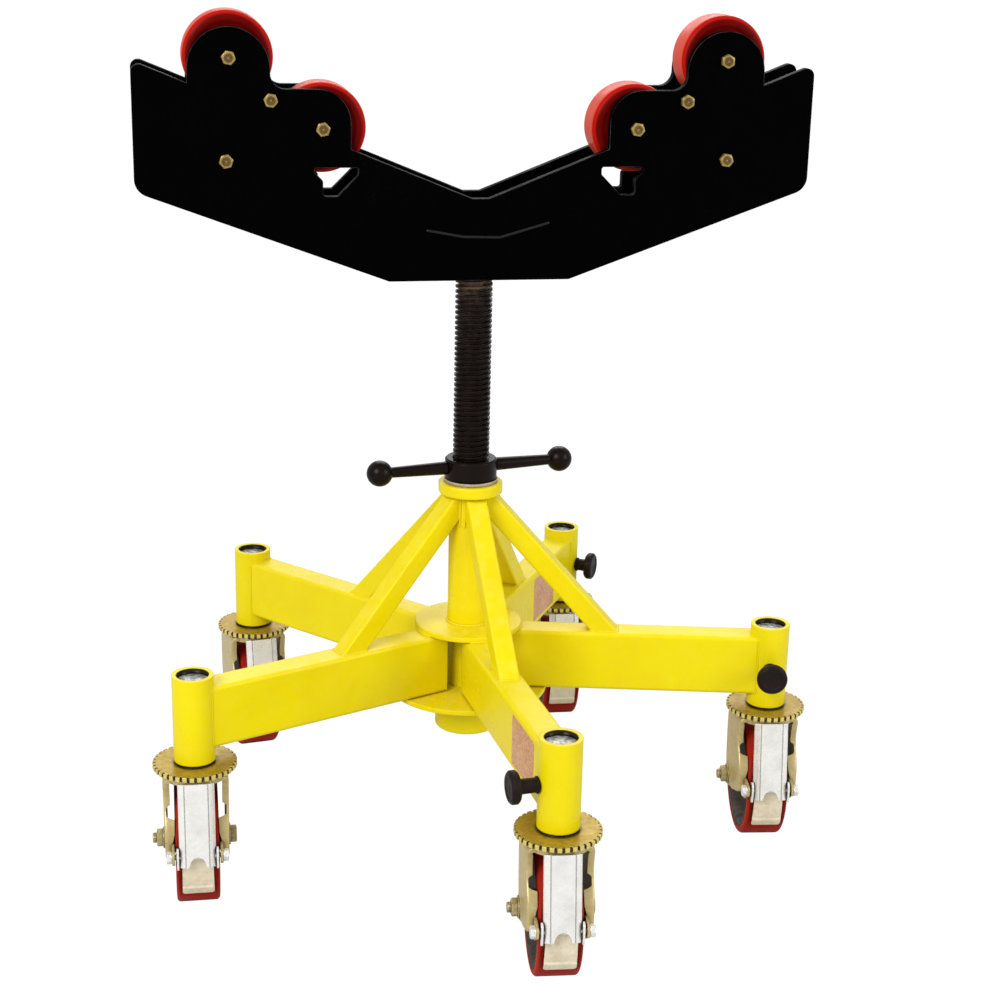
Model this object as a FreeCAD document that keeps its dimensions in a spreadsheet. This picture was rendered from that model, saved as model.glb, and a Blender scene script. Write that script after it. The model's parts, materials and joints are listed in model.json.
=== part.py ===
import FreeCAD, Part
import math
import os
import re

import Sketcher
from FreeCAD import Rotation, Vector

# Rolling pipe stand: five castored legs on a round column, a screw jack with a
# handled nut, and a swivelling V head that carries four polyurethane rollers.
# Millimetres, +Z up.  The origin is on the floor under the column's axis; the
# V head lies along X, and its two plates face -Y and +Y.

doc = FreeCAD.newDocument("RollingPipeStand")
sheet = doc.addObject("Spreadsheet::Sheet", "Sizes")

SIZES = [
    # column, hub and legs
    ("leg_reach", 379, "column axis to each post's axis"),
    ("first_leg_heading", -12.4, "heading of leg 1, degrees from +X"),
    ("leg_start", 42, "column axis to the inner end of a leg tube"),
    ("leg_bottom", 203.2, "floor to the underside of the leg tubes"),
    ("leg_depth", 76.2, "height of a leg tube"),
    ("leg_width", 38.1, "width of a leg tube"),
    ("leg_wall", 4.8, "wall of a leg tube"),
    ("leg_corner", 5, "outside corner radius of a leg tube"),
    ("hub_thickness", 6.35, "thickness of both hub plates"),
    ("upper_hub_outer", 133.4, "diameter of the upper hub plate"),
    ("lower_hub_outer", 200, "diameter of the lower hub plate"),
    ("column_outer", 52, "outside diameter of the column"),
    ("column_wall", 2.8, "wall of the column"),
    ("column_top", 468, "floor to the top of the column"),
    ("collar_outer", 78.8, "diameter of the top collar"),
    ("collar_depth", 14, "height of the top collar"),
    ("boss_outer", 80, "diameter of the bottom boss"),
    ("boss_bottom", 144, "floor to the underside of the bottom boss"),
    ("weld_gap", 0.05, "gap between welded round faces"),
    ("edge_round", 2, "rounding of turned edges"),
    ("brace_side", 25.4, "side of a square brace tube"),
    ("brace_wall", 3, "wall of a brace tube"),
    ("brace_corner", 3, "outside corner radius of a brace tube"),
    ("brace_angle", 47.8, "slope of a brace, degrees from level"),
    ("brace_foot", 188, "column axis to the outer toe of a brace"),
    # posts and lock knobs
    ("post_outer", 48.3, "outside diameter of a caster post"),
    ("post_bore", 38.1, "bore of a caster post"),
    ("post_bottom", 187.6, "floor to the lower end of a post"),
    ("post_length", 105.2, "length of a post"),
    ("foot_gap", 2.8, "gap between a post and the lock ring"),
    ("foot_step", 2, "step from a post's outside in to the stem's shoulder"),
    ("stem_gap", 0.25, "radial gap between a caster stem and its post"),
    ("stem_recess", 7, "stem's top below the post's top"),
    ("knob_height", 239, "floor to the axis of a lock knob"),
    ("knob_outer", 37.5, "diameter of a lock knob's disc"),
    ("knob_disc", 11, "thickness of a lock knob's disc"),
    ("knob_round", 3, "rounding of a lock knob's disc"),
    ("knob_neck", 18, "diameter of a lock knob's neck"),
    ("knob_stand_off", 20, "length of a lock knob's neck"),
    ("knob_stud", 12, "diameter of a lock knob's stud"),
    ("knob_tip_gap", 0.3, "gap between a stud's tip and the stem"),
    # casters
    ("wheel_outer", 152.4, "diameter of a caster wheel"),
    ("wheel_width", 50.8, "width of a caster wheel's tread"),
    ("tread_depth", 8, "thickness of the tread"),
    ("tread_round", 4.5, "rounding of the tread's edges"),
    ("wheel_web", 12, "thickness of the wheel's web"),
    ("wheel_rim", 9, "thickness of the wheel's rim under the tread"),
    ("rim_inset", 0.8, "rim's side inside the tread's side"),
    ("wheel_boss", 46, "diameter of the wheel's boss"),
    ("boss_taper", 4, "taper of the boss's radius"),
    ("wheel_trail", 22, "wheel axle behind the swivel axis"),
    ("axle", 12.7, "diameter of the axle bolt"),
    ("running_gap", 0.08, "radial gap of a running fit"),
    ("side_gap", 0.8, "gap beside a wheel boss or roller"),
    ("fork_width", 76, "outside width of a fork"),
    ("fork_plate", 3.2, "thickness of a fork's side plate"),
    ("fork_crown", 5, "thickness of a fork's crown"),
    ("fork_top", 177, "floor to the top of a fork's crown"),
    ("fork_length", 68, "length of a fork's crown"),
    ("fork_chest_x", 41, "swivel axis to the fork's chest"),
    ("fork_chest_z", 146, "floor to the fork's chest"),
    ("fork_notch_x", 35, "swivel axis to the notch under the chest"),
    ("fork_notch_z", 133, "floor to the notch under the chest"),
    ("fork_back_x", 43, "swivel axis to the fork's back"),
    ("fork_back_z", 135, "floor to the fork's back"),
    ("fork_foot", 14, "axle to the fork's lower end"),
    ("fork_foot_half", 12, "half length of the fork's lower end"),
    ("fork_heel", 19, "axle to the fork's heel"),
    ("lug_inner", 26.2, "wheel's middle to the inner face of a pin lug"),
    ("lug_plate", 3.2, "thickness of a pin lug and of its web"),
    ("lug_web_x", 41, "swivel axis to the web that joins a lug to its side"),
    ("lug_nose", 6.5, "pin to the front of its lug"),
    ("lug_rise", 9, "pin to the top of its lug"),
    ("lug_drop", 28, "pin to the bottom of its lug"),
    ("race_outer", 74, "diameter of the swivel race"),
    ("race_gap", 1, "gap between the race and the lock ring"),
    ("kingpin", 16, "diameter of the kingpin"),
    ("kingpin_nut", 26, "diameter of the kingpin's flange nut"),
    ("kingpin_gap", 0.3, "gap between the crown and the flange nut"),
    ("kingpin_nut_depth", 6, "height of the kingpin's flange nut"),
    ("ring_outer", 97.6, "diameter of the toothed lock ring"),
    ("ring_depth", 5.6, "thickness of the toothed lock ring"),
    ("ring_teeth", 36, "teeth on the lock ring"),
    ("ring_notch", 4.8, "width of a notch's cutter outside the ring"),
    ("ring_root", 2.2, "width of a notch at its root"),
    ("ring_notch_depth", 3.4, "depth of a notch in the lock ring"),
    ("guard_gap", 1.5, "gap between the tread and its guard"),
    ("guard_plate", 1.5, "thickness of the tread guard"),
    ("guard_width", 35, "width of the tread guard"),
    ("guard_drop", 47, "pin to the tread guard's lower edge"),
    ("guard_height", 50, "height of the tread guard"),
    ("guard_strip_drop", 26, "pin to the lower edge of the guard's cross strip"),
    ("guard_strip_height", 9, "height of the guard's cross strip"),
    ("pin_reach", 84, "wheel axle to the pedal's pin"),
    ("pin_rise", 15.8, "pedal's pin above the wheel axle"),
    ("pin", 6, "diameter of the pedal's pin"),
    ("pin_hex", 12, "pin's heads across flats"),
    ("pin_hex_depth", 5, "height of the pin's heads"),
    ("pedal_width", 42, "width of the brake pedal"),
    ("pedal_plate", 2.5, "thickness of the brake pedal"),
    ("pedal_length", 98, "length of the brake pedal"),
    ("pedal_lean", 10.5, "lean of the pedal from upright, degrees"),
    ("pedal_face", 6, "pin to the pedal's front face"),
    ("pedal_flange", 4, "pin's line to the back of the pedal's flanges"),
    ("pedal_flange_top", 60, "pin to where the flanges start to narrow"),
    ("pedal_ear_rise", 2, "pin to the upper corner of the flanges' ears"),
    ("pedal_ear_back", 3, "pin to the back of the flanges' ears"),
    ("pedal_ear_drop", 4.5, "pin to the lower corner of the flanges' ears"),
    ("pedal_below_pin", 12, "pedal's lower end below its pin"),
    ("pedal_arch", 22, "width of the arch in the pedal's lower end"),
    ("pedal_arch_rise", 1, "arch's centre above the pedal's lower end"),
    ("hex_flats", 19, "axle bolt's head across flats"),
    ("hex_depth", 8, "height of the axle bolt's head and nut"),
    ("axle_end", 5, "axle bolt's threaded end beyond its nut"),
    ("caster_heading_1", -97, "heading of caster 1, degrees from +X"),
    ("caster_heading_2", -93, "heading of caster 2"),
    ("caster_heading_3", -81, "heading of caster 3"),
    ("caster_heading_4", -91, "heading of caster 4"),
    ("caster_heading_5", -95, "heading of caster 5"),
    # screw jack
    ("screw_major", 44.45, "major diameter of the screw"),
    ("thread_pitch", 6.35, "pitch of the screw's trapezoidal thread"),
    ("thread_depth", 3.3, "depth of the thread"),
    ("thread_mouth", 4, "width of the thread's groove at the crest"),
    ("thread_root", 2.35, "width of the thread's groove at its root"),
    ("thread_gap", 0.35, "radial gap round the screw and its journal"),
    ("screw_end", 240, "floor to the lower end of the screw"),
    ("screw_chamfer", 4, "chamfer at the screw's lower end"),
    ("washer_outer", 66, "diameter of the thrust washer"),
    ("washer_depth", 4.3, "thickness of the thrust washer"),
    ("nut_outer", 63.7, "diameter of the jack nut"),
    ("nut_depth", 25.7, "height of the jack nut"),
    ("nut_chamfer", 2, "chamfer of the jack nut"),
    ("handle_rise", 14.1, "washer to the handle's axis"),
    ("handle_heading", 9.8, "heading of the handle, degrees from +X"),
    ("handle_reach", 116.6, "screw axis to the centre of a handle ball"),
    ("handle_ball", 31.75, "diameter of a handle ball"),
    ("handle_root", 16.4, "diameter of an arm beside the nut"),
    ("handle_tip", 12.2, "diameter of an arm beside its ball"),
    ("handle_stud", 10, "diameter of an arm's stud inside the nut"),
    ("handle_stud_depth", 7, "depth of an arm's stud inside the nut"),
    # V head
    ("plate_thickness", 9.5, "thickness of a head plate"),
    ("plate_gap", 53.4, "gap between the head plates"),
    ("head_bottom", 723.5, "floor to the lower edge of the head"),
    ("head_flat", 106.5, "half length of the head's lower edge"),
    ("head_end", 393.5, "half length of the head"),
    ("arm_low_slope", 20.1, "slope of the arms' lower edge, degrees"),
    ("arm_top_slope", 21.9, "slope of the arms' upper edge, degrees"),
    ("vee_height", 95.5, "lower edge to the bottom of the V"),
    ("vee_flat", 10, "half width of the V's flat bottom"),
    ("corner_top", 9, "rounding of an arm's upper outer corner"),
    ("corner_low", 20, "rounding of an arm's lower outer corner"),
    ("roller_outer", 101.6, "diameter of a head roller"),
    ("roller_width", 50.8, "width of a head roller"),
    ("roller_round", 9, "rounding of a head roller's edges"),
    ("high_axle_x", 286.6, "head's middle to an upper axle"),
    ("high_axle_z", 976.4, "floor to an upper axle"),
    ("low_axle_x", 182.4, "head's middle to a lower axle"),
    ("low_axle_z", 898.4, "floor to a lower axle"),
    ("high_spacer_x", 240.7, "head's middle to an upper spacer bolt"),
    ("high_spacer_z", 930.2, "floor to an upper spacer bolt"),
    ("low_spacer_x", 291.3, "head's middle to a lower spacer bolt"),
    ("low_spacer_z", 863, "floor to a lower spacer bolt"),
    ("high_lobe", 92, "width of an upper plate lobe"),
    ("high_lobe_drop", 12.5, "lobe's centre below the upper axle"),
    ("low_lobe", 76, "width of a lower plate lobe"),
    ("low_lobe_shift", 5.9, "lobe's centre outside the lower axle"),
    ("low_lobe_rise", 6.1, "lobe's centre above the lower axle"),
    ("lobe_fillet", 17, "fillet between the upper lobe and the web beside it"),
    ("lobe_root", 5, "depth of a lobe's foot inside the arm"),
    ("head_bolt", 10, "diameter of a head bolt"),
    ("head_hex", 17, "head bolt's hexagon across flats"),
    ("head_hex_depth", 7, "height of a head bolt's hexagon"),
    ("head_bolt_end", 3, "head bolt's threaded end beyond its nut"),
    ("sleeve_outer", 18, "diameter of a roller's inner sleeve"),
    ("spacer_outer", 19, "diameter of a spacer tube"),
    ("relief_inner", 142, "head's middle to a relief hole's near side"),
    ("relief_outer", 182.5, "head's middle to a relief hole's far side"),
    ("relief_floor", 822.5, "floor to the bottom of a relief hole"),
    ("relief_step", 10, "width added to the hole's top"),
    ("relief_step_side", 5, "height of the widened top's side"),
    ("relief_bevel_x", 24, "width of the hole's bevel"),
    ("relief_bevel_z", 24, "height of the hole's bevel"),
    ("relief_height", 32.5, "height of a relief hole"),
    ("relief_round", 3, "rounding of a relief hole's corners"),
    ("socket_journal", 34, "diameter of the screw's journal in the head"),
    ("socket_depth", 70, "length of the screw's journal"),
    ("socket_cap", 9, "thickness of the socket's closed top"),
    ("socket_rise", 4, "socket's lower face above the head's lower edge"),
]

for row, (alias, value, meaning) in enumerate(SIZES, start=1):
    sheet.set("A%d" % row, meaning)
    sheet.set("B%d" % row, str(value))
    sheet.setAlias("B%d" % row, alias)
doc.recompute()

ALIASES = {alias for alias, value, meaning in SIZES}
LEGS = range(1, 6)
KNOB_LEGS = (1, 2, 5)
SUBPARTS = []

probe = doc.addObject("App::FeaturePython", "probe")
probe.addProperty("App::PropertyFloat", "amount")


def formula(text):
    """Write each size's name in a formula as a reference to the sheet."""
    return re.sub(r"[a-z_][a-z_0-9]*", lambda word: sheet_name(word.group()), text)


def sheet_name(word):
    return "Sizes." + word if word in ALIASES else word


def number(text):
    """The value of a formula of sheet sizes."""
    probe.setExpression("amount", formula(text))
    probe.recompute()
    return probe.amount


def bind(item, **formulas):
    """Tie properties of an object to formulas of sheet sizes."""
    for prop, text in formulas.items():
        item.setExpression(prop, formula(text))
    return item


def place(item, x="0", y="0", z="0", turn="0"):
    """Tie an object's place, and its turn about +Z in degrees, to formulas."""
    item.Placement.Rotation = Rotation(Vector(0, 0, 1), 1)
    for prop, text in (("Base.x", x), ("Base.y", y), ("Base.z", z), ("Rotation.Angle", turn)):
        item.setExpression("Placement." + prop, formula(text))
    return item


def subpart(item, label):
    """Give an object the name of its sub-part and list it for writing."""
    item.Label = label
    SUBPARTS.append(item)
    return item


def leg_heading(leg):
    return "first_leg_heading + 72 * %d" % (leg - 1)


def at_post(item, leg):
    """Stand a caster piece under a post and turn it to its caster's heading."""
    heading = "(%s) * 1 deg" % leg_heading(leg)
    return place(item, "leg_reach * cos(%s)" % heading, "leg_reach * sin(%s)" % heading, "0",
                 "caster_heading_%d" % leg)


# ---- PartDesign helpers ----

def new_body(name):
    return doc.addObject("PartDesign::Body", name)


def sketch_on(body, role, x="0", y="0", z="0"):
    """A sketch on one of the body's origin planes, moved by formulas in the sketch's own axes."""
    sketch = body.newObject("Sketcher::SketchObject", body.Name + "_sketch")
    plane = next(item for item in body.Origin.OriginFeatures if item.Role == role)
    sketch.AttachmentSupport = [(plane, "")]
    sketch.MapMode = "FlatFace"
    for axis, text in zip("xyz", (x, y, z)):
        sketch.setExpression("AttachmentOffset.Base." + axis, formula(text))
    return sketch


def fix_point(sketch, geometry, point, x, y):
    """Hold one point of a sketch at formulas for its two coordinates."""
    for kind, text in (("DistanceX", x), ("DistanceY", y)):
        index = sketch.addConstraint(Sketcher.Constraint(kind, -1, 1, geometry, point, number(text)))
        sketch.setExpression("Constraints[%d]" % index, formula(text))


def polygon(sketch, points):
    """A closed outline whose corners are pairs of formulas."""
    corners = [Vector(number(x), number(y), 0) for x, y in points]
    first = sketch.GeometryCount
    for start, end in zip(corners, corners[1:] + corners[:1]):
        sketch.addGeometry(Part.LineSegment(start, end), False)
    for index, (x, y) in enumerate(points):
        before = first + (index - 1) % len(points)
        sketch.addConstraint(Sketcher.Constraint("Coincident", before, 2, first + index, 1))
        fix_point(sketch, first + index, 1, x, y)


def circle(sketch, x, y, diameter):
    """A circle whose centre and diameter are formulas."""
    centre = Vector(number(x), number(y), 0)
    index = sketch.addGeometry(Part.Circle(centre, Vector(0, 0, 1), number(diameter) / 2), False)
    fix_point(sketch, index, 3, x, y)
    size = sketch.addConstraint(Sketcher.Constraint("Diameter", index, number(diameter)))
    sketch.setExpression("Constraints[%d]" % size, formula(diameter))


def pad(body, sketch, length, midplane=False, reverse=False):
    feature = body.newObject("PartDesign::Pad", body.Name + "_pad")
    feature.Profile = sketch
    feature.Midplane = midplane
    feature.Reversed = reverse
    bind(feature, Length=length)
    doc.recompute()
    return feature


def pocket(body, sketch, length=None, midplane=True, reverse=False):
    """Cut a sketch into the body, through all of it or to a length, and make sure that it cuts."""
    before = body.Shape.Volume
    feature = body.newObject("PartDesign::Pocket", body.Name + "_pocket")
    feature.Profile = sketch
    feature.Midplane = midplane
    feature.Reversed = reverse
    if length is None:
        feature.Type = "ThroughAll"
    else:
        bind(feature, Length=length)
    doc.recompute()
    if body.Shape.Volume >= before:
        raise RuntimeError(body.Name + ": a pocket cuts nothing")
    return feature


def fillet(body, radius, chosen):
    """Round the edges of the body's last feature that a test picks."""
    tip = body.Tip
    names = ["Edge%d" % (i + 1) for i, edge in enumerate(tip.Shape.Edges) if chosen(edge)]
    if not names:
        raise RuntimeError(body.Name + ": no edge to round")
    feature = body.newObject("PartDesign::Fillet", body.Name + "_fillet")
    feature.Base = (tip, names)
    bind(feature, Radius=radius)
    doc.recompute()
    return feature


def lies_along(edge, axis):
    """Whether an edge is straight and parallel to an axis."""
    if not isinstance(edge.Curve, Part.Line):
        return False
    return abs(abs(edge.tangentAt(edge.FirstParameter).dot(axis)) - 1) < 1e-6


def near_line(edge, x, z, reach=0.5):
    """Whether an edge along Y passes through a point of the XZ plane."""
    middle = edge.CenterOfMass
    return lies_along(edge, Vector(0, 1, 0)) and math.hypot(middle.x - x, middle.z - z) < reach


def is_rim(edge, radius, level=None, axis="z"):
    """Whether an edge is a full circle of a radius, at a level if one is given."""
    if not isinstance(edge.Curve, Part.Circle) or abs(edge.Curve.Radius - radius) > 1e-3:
        return False
    return level is None or abs(getattr(edge.Curve.Center, axis) - level) < 1e-3


def turned_z(name, points):
    """A body turned about Z from an outline of (radius, height) formulas."""
    body = new_body(name)
    sketch = sketch_on(body, "XZ_Plane")
    polygon(sketch, points)
    feature = body.newObject("PartDesign::Revolution", name + "_turn")
    feature.Profile = sketch
    feature.ReferenceAxis = (sketch, ["V_Axis"])
    feature.Angle = 360
    doc.recompute()
    return body


def turned_y(name, x, z, points):
    """A body turned about the line along Y through (x, z), from (y, radius) formulas."""
    body = new_body(name)
    sketch = sketch_on(body, "YZ_Plane", "0", z, x)
    polygon(sketch, points)
    feature = body.newObject("PartDesign::Revolution", name + "_turn")
    feature.Profile = sketch
    feature.ReferenceAxis = (sketch, ["H_Axis"])
    feature.Angle = 360
    doc.recompute()
    return body


def ring_outline(outer, inner, bottom, top):
    return [(inner, bottom), (outer, bottom), (outer, top), (inner, top)]


# ---- Part helpers ----

def cylinder(name, diameter, length):
    return bind(doc.addObject("Part::Cylinder", name), Radius=diameter + " / 2", Height=length)


def along_y(item, x, y, z):
    """Lay a primitive that stands on Z along +Y, starting at a point."""
    item.Placement.Rotation = Rotation(Vector(1, 0, 0), -90)
    for axis, text in zip("xyz", (x, y, z)):
        item.setExpression("Placement.Base." + axis, formula(text))
    return item


def fused(name, items):
    result = doc.addObject("Part::MultiFuse", name)
    result.Shapes = items
    return result


def less(name, base, tool):
    result = doc.addObject("Part::Cut", name)
    result.Base = base
    result.Tool = tool
    return result


def grouped(name, items):
    result = doc.addObject("Part::Compound", name)
    result.Links = items
    return result


# ---- column and hub ----

leg_top = "(leg_bottom + leg_depth)"
post_top = "(post_bottom + post_length)"
bore_round_column = "(column_outer / 2 + weld_gap)"


def make_column():
    bore = "column_outer / 2 - column_wall"
    points = ring_outline("column_outer / 2", bore, "boss_bottom", "column_top")
    subpart(turned_z("column_tube", points), "column_tube")


def make_ring(name, outer, bottom, top, rounding="edge_round"):
    """A ring round the column, with its outer edges rounded."""
    body = turned_z(name, ring_outline(outer + " / 2", bore_round_column, bottom, top))
    radius = number(outer) / 2
    fillet(body, rounding, lambda edge: is_rim(edge, radius))
    subpart(body, name)


def make_hub():
    make_ring("top_collar", "collar_outer", "column_top - collar_depth", "column_top")
    make_ring("upper_hub_plate", "upper_hub_outer", leg_top, leg_top + " + hub_thickness", "edge_round / 2")
    make_ring("lower_hub_plate", "lower_hub_outer", "leg_bottom - hub_thickness", "leg_bottom",
              "edge_round / 2")
    make_ring("bottom_boss", "boss_outer", "boss_bottom", "leg_bottom - hub_thickness", "2 * edge_round")


# ---- legs and braces, each in the frame of its own leg, which lies along +X ----

def make_leg(leg):
    body = new_body("leg_tube_%d" % leg)
    half, low, high = "leg_width / 2", "leg_bottom", leg_top
    sketch = sketch_on(body, "YZ_Plane", z="leg_start")
    polygon(sketch, [("-" + half, low), (half, low), (half, high), ("-" + half, high)])
    pad(body, sketch, "leg_reach - leg_start")
    fillet(body, "leg_corner", lambda edge: lies_along(edge, Vector(1, 0, 0)))
    inner, floor, roof = "(leg_width / 2 - leg_wall)", "leg_bottom + leg_wall", leg_top + " - leg_wall"
    sketch = sketch_on(body, "YZ_Plane", z="leg_start")
    polygon(sketch, [("-" + inner, floor), (inner, floor), (inner, roof), ("-" + inner, roof)])
    pocket(body, sketch)
    sketch = sketch_on(body, "XY_Plane")
    circle(sketch, "leg_reach", "0", "post_outer + 2 * weld_gap")
    pocket(body, sketch)
    place(body, turn=leg_heading(leg))
    subpart(body, "leg_tube_%d" % leg)


def brace_outline(inset):
    """Corners of a brace in its leg's plane, its sloping sides moved in by an inset."""
    slope = "(brace_angle * 1 deg)"
    toe = "brace_foot - (%s) / sin(%s)" % (inset, slope)
    heel = "brace_foot - (brace_side - (%s)) / sin(%s)" % (inset, slope)
    rise = "(column_top - collar_depth - %s)" % leg_top
    run = "%s / tan(%s)" % (rise, slope)
    top = "column_top - collar_depth"
    centre = "0"
    heel_top = "%s + (%s) * tan(%s)" % (leg_top, heel, slope)
    return [(toe, leg_top), ("%s - %s" % (toe, run), top), (centre, top), (centre, heel_top),
            (heel, leg_top)]


def make_brace(leg):
    body = new_body("brace_tube_%d" % leg)
    sketch = sketch_on(body, "XZ_Plane")
    polygon(sketch, brace_outline("0"))
    pad(body, sketch, "brace_side", midplane=True)
    slope = math.radians(number("brace_angle"))
    downhill = Vector(math.cos(slope), 0, -math.sin(slope))
    fillet(body, "brace_corner", lambda edge: lies_along(edge, downhill))
    sketch = sketch_on(body, "XZ_Plane")
    polygon(sketch, brace_outline("brace_wall"))
    pocket(body, sketch, "brace_side - 2 * brace_wall")
    sketch = sketch_on(body, "XY_Plane")
    circle(sketch, "0", "0", "column_outer + 2 * weld_gap")
    pocket(body, sketch)
    place(body, turn=leg_heading(leg))
    subpart(body, "brace_tube_%d" % leg)


# ---- caster posts and lock knobs ----

def make_posts():
    posts = []
    for leg in LEGS:
        outer = cylinder("post_outside_%d" % leg, "post_outer", "post_length")
        bore = cylinder("post_inside_%d" % leg, "post_bore", "post_length")
        for item in (outer, bore):
            place(item, "leg_reach", "0", "post_bottom")
        post = less("post_tube_%d" % leg, outer, bore)
        if leg in KNOB_LEGS:
            hole = cylinder("post_hole_%d" % leg, "(knob_stud + 2 * running_gap)", "post_outer / 2")
            along_y(hole, "leg_reach", "-post_outer / 2", "knob_height")
            post = less("post_drilled_%d" % leg, post, hole)
        posts.append(place(post, turn=leg_heading(leg)))
    subpart(grouped("posts", posts), "caster_posts")


def make_knob(leg):
    """A lock knob whose stud goes through the post's wall, square to the leg."""
    name = "lock_knob_%d" % leg
    face = "-(post_outer / 2 + weld_gap)"
    tip = "-(post_bore / 2 - stem_gap + knob_tip_gap)"
    back = face + " - knob_stand_off"
    front = back + " - knob_disc"
    stud, neck, disc = "knob_stud / 2", "knob_neck / 2", "knob_outer / 2"
    points = [(tip, "0"), (tip, stud), (face, stud), (face, neck), (back, neck), (back, disc),
              (front, disc), (front, "0")]
    body = turned_y(name, "leg_reach", "knob_height", points)
    radius = number(disc)
    fillet(body, "knob_round", lambda edge: is_rim(edge, radius))
    place(body, turn=leg_heading(leg))
    subpart(body, name)


# ---- casters, each in its own frame: +X is the pedal's side, the swivel axis is Z ----

wheel_radius = "(wheel_outer / 2)"
wheel_x = "-wheel_trail"
inner_half = "(fork_width / 2 - fork_plate)"
lug_outer = "(lug_inner + lug_plate)"
ring_top = "(post_bottom - foot_gap)"
pin_x = "(-wheel_trail + sqrt(pin_reach ^ 2 - pin_rise ^ 2))"
pin_z = "(wheel_outer / 2 + pin_rise)"


def make_stems():
    """Stem, toothed lock ring, kingpin and its flange nut, one solid under each post."""
    stem = "(post_bore / 2 - stem_gap)"
    shoulder = "(post_outer / 2 - foot_step)"
    ring_low = "(%s - ring_depth)" % ring_top
    nut_top = "(fork_top - fork_crown - kingpin_gap)"
    points = [("0", nut_top + " - kingpin_nut_depth"), ("kingpin_nut / 2", nut_top + " - kingpin_nut_depth"),
              ("kingpin_nut / 2", nut_top), ("kingpin / 2", nut_top), ("kingpin / 2", ring_low),
              ("ring_outer / 2", ring_low), ("ring_outer / 2", ring_top), (shoulder, ring_top),
              (shoulder, "post_bottom"), (stem, "post_bottom"), (stem, post_top + " - stem_recess"),
              ("0", post_top + " - stem_recess")]
    stems = []
    for leg in LEGS:
        body = turned_z("stem_%d" % leg, points)
        sketch = sketch_on(body, "XY_Plane", z=ring_low)
        inner = "(ring_outer / 2 - ring_notch_depth)"
        outer = "(ring_outer / 2 + ring_notch_depth)"
        root, mouth = "ring_root / 2", "ring_notch / 2"
        polygon(sketch, [(inner, "-" + root), (outer, "-" + mouth), (outer, mouth), (inner, root)])
        notch = pocket(body, sketch, "ring_depth", midplane=False, reverse=True)
        teeth = body.newObject("PartDesign::PolarPattern", body.Name + "_teeth")
        teeth.Originals = [notch]
        teeth.Axis = (next(item for item in body.Origin.OriginFeatures if item.Role == "Z_Axis"), [""])
        teeth.Angle = 360
        bind(teeth, Occurrences="ring_teeth")
        body.Tip = teeth
        doc.recompute()
        stems.append(at_post(body, leg))
    subpart(grouped("stems", stems), "caster_stems")


def fork_side():
    """Side view of a fork's side plate, from its crown to the axle and forward to the lug's web."""
    web = "lug_web_x + lug_plate"
    return [("-fork_length / 2", "fork_top"), ("fork_length / 2", "fork_top"),
            ("fork_chest_x", "fork_chest_z"), ("fork_notch_x", "fork_notch_z"),
            (web, pin_z + " + lug_rise"), (web, pin_z + " - lug_drop"),
            (wheel_x + " + fork_foot_half", wheel_radius + " - fork_foot"),
            (wheel_x + " - fork_foot_half", wheel_radius + " - fork_foot"),
            (wheel_x + " - fork_heel", wheel_radius), ("-fork_back_x", "fork_back_z")]


def block(body, left, right, low, high, width, cut=False):
    """Add or cut a block across the body's middle plane, from XZ formulas."""
    sketch = sketch_on(body, "XZ_Plane")
    polygon(sketch, [(left, low), (right, low), (right, high), (left, high)])
    if cut:
        pocket(body, sketch, width)
    else:
        pad(body, sketch, width, midplane=True)


def make_fork(leg):
    name = "caster_fork_%d" % leg
    body = new_body("fork_%d" % leg)
    sketch = sketch_on(body, "XZ_Plane")
    polygon(sketch, fork_side())
    pad(body, sketch, "fork_width", midplane=True)
    block(body, "-wheel_outer", "wheel_outer", "0", "fork_top - fork_crown", "2 * " + inner_half, cut=True)
    fillet(body, "fork_plate", lambda edge: lies_along(edge, Vector(1, 0, 0)) and
           edge.CenterOfMass.z > number("fork_top") - 0.01)
    sketch = sketch_on(body, "XY_Plane", z="fork_top")
    circle(sketch, "0", "0", "race_outer")
    pad(body, sketch, ring_top + " - ring_depth - race_gap - fork_top")
    lug_low, lug_high, nose = pin_z + " - lug_drop", pin_z + " + lug_rise", pin_x + " + lug_nose"
    block(body, "lug_web_x", nose, lug_low, lug_high, "2 * " + lug_outer)
    block(body, "lug_web_x", "lug_web_x + lug_plate", lug_low, lug_high, "2 * %s + fork_plate" % inner_half)
    block(body, "0", "wheel_outer", lug_low, lug_high, "2 * lug_inner", cut=True)
    sketch = sketch_on(body, "XY_Plane")
    circle(sketch, "0", "0", "kingpin + 2 * running_gap")
    pocket(body, sketch)
    sketch = sketch_on(body, "XZ_Plane")
    circle(sketch, wheel_x, wheel_radius, "axle + 2 * weld_gap")
    circle(sketch, pin_x, pin_z, "pin + 2 * weld_gap")
    pocket(body, sketch)
    guard = make_guard(leg)
    fork = fused("fork_whole_%d" % leg, [body, guard])
    subpart(at_post(fork, leg), name)


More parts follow.
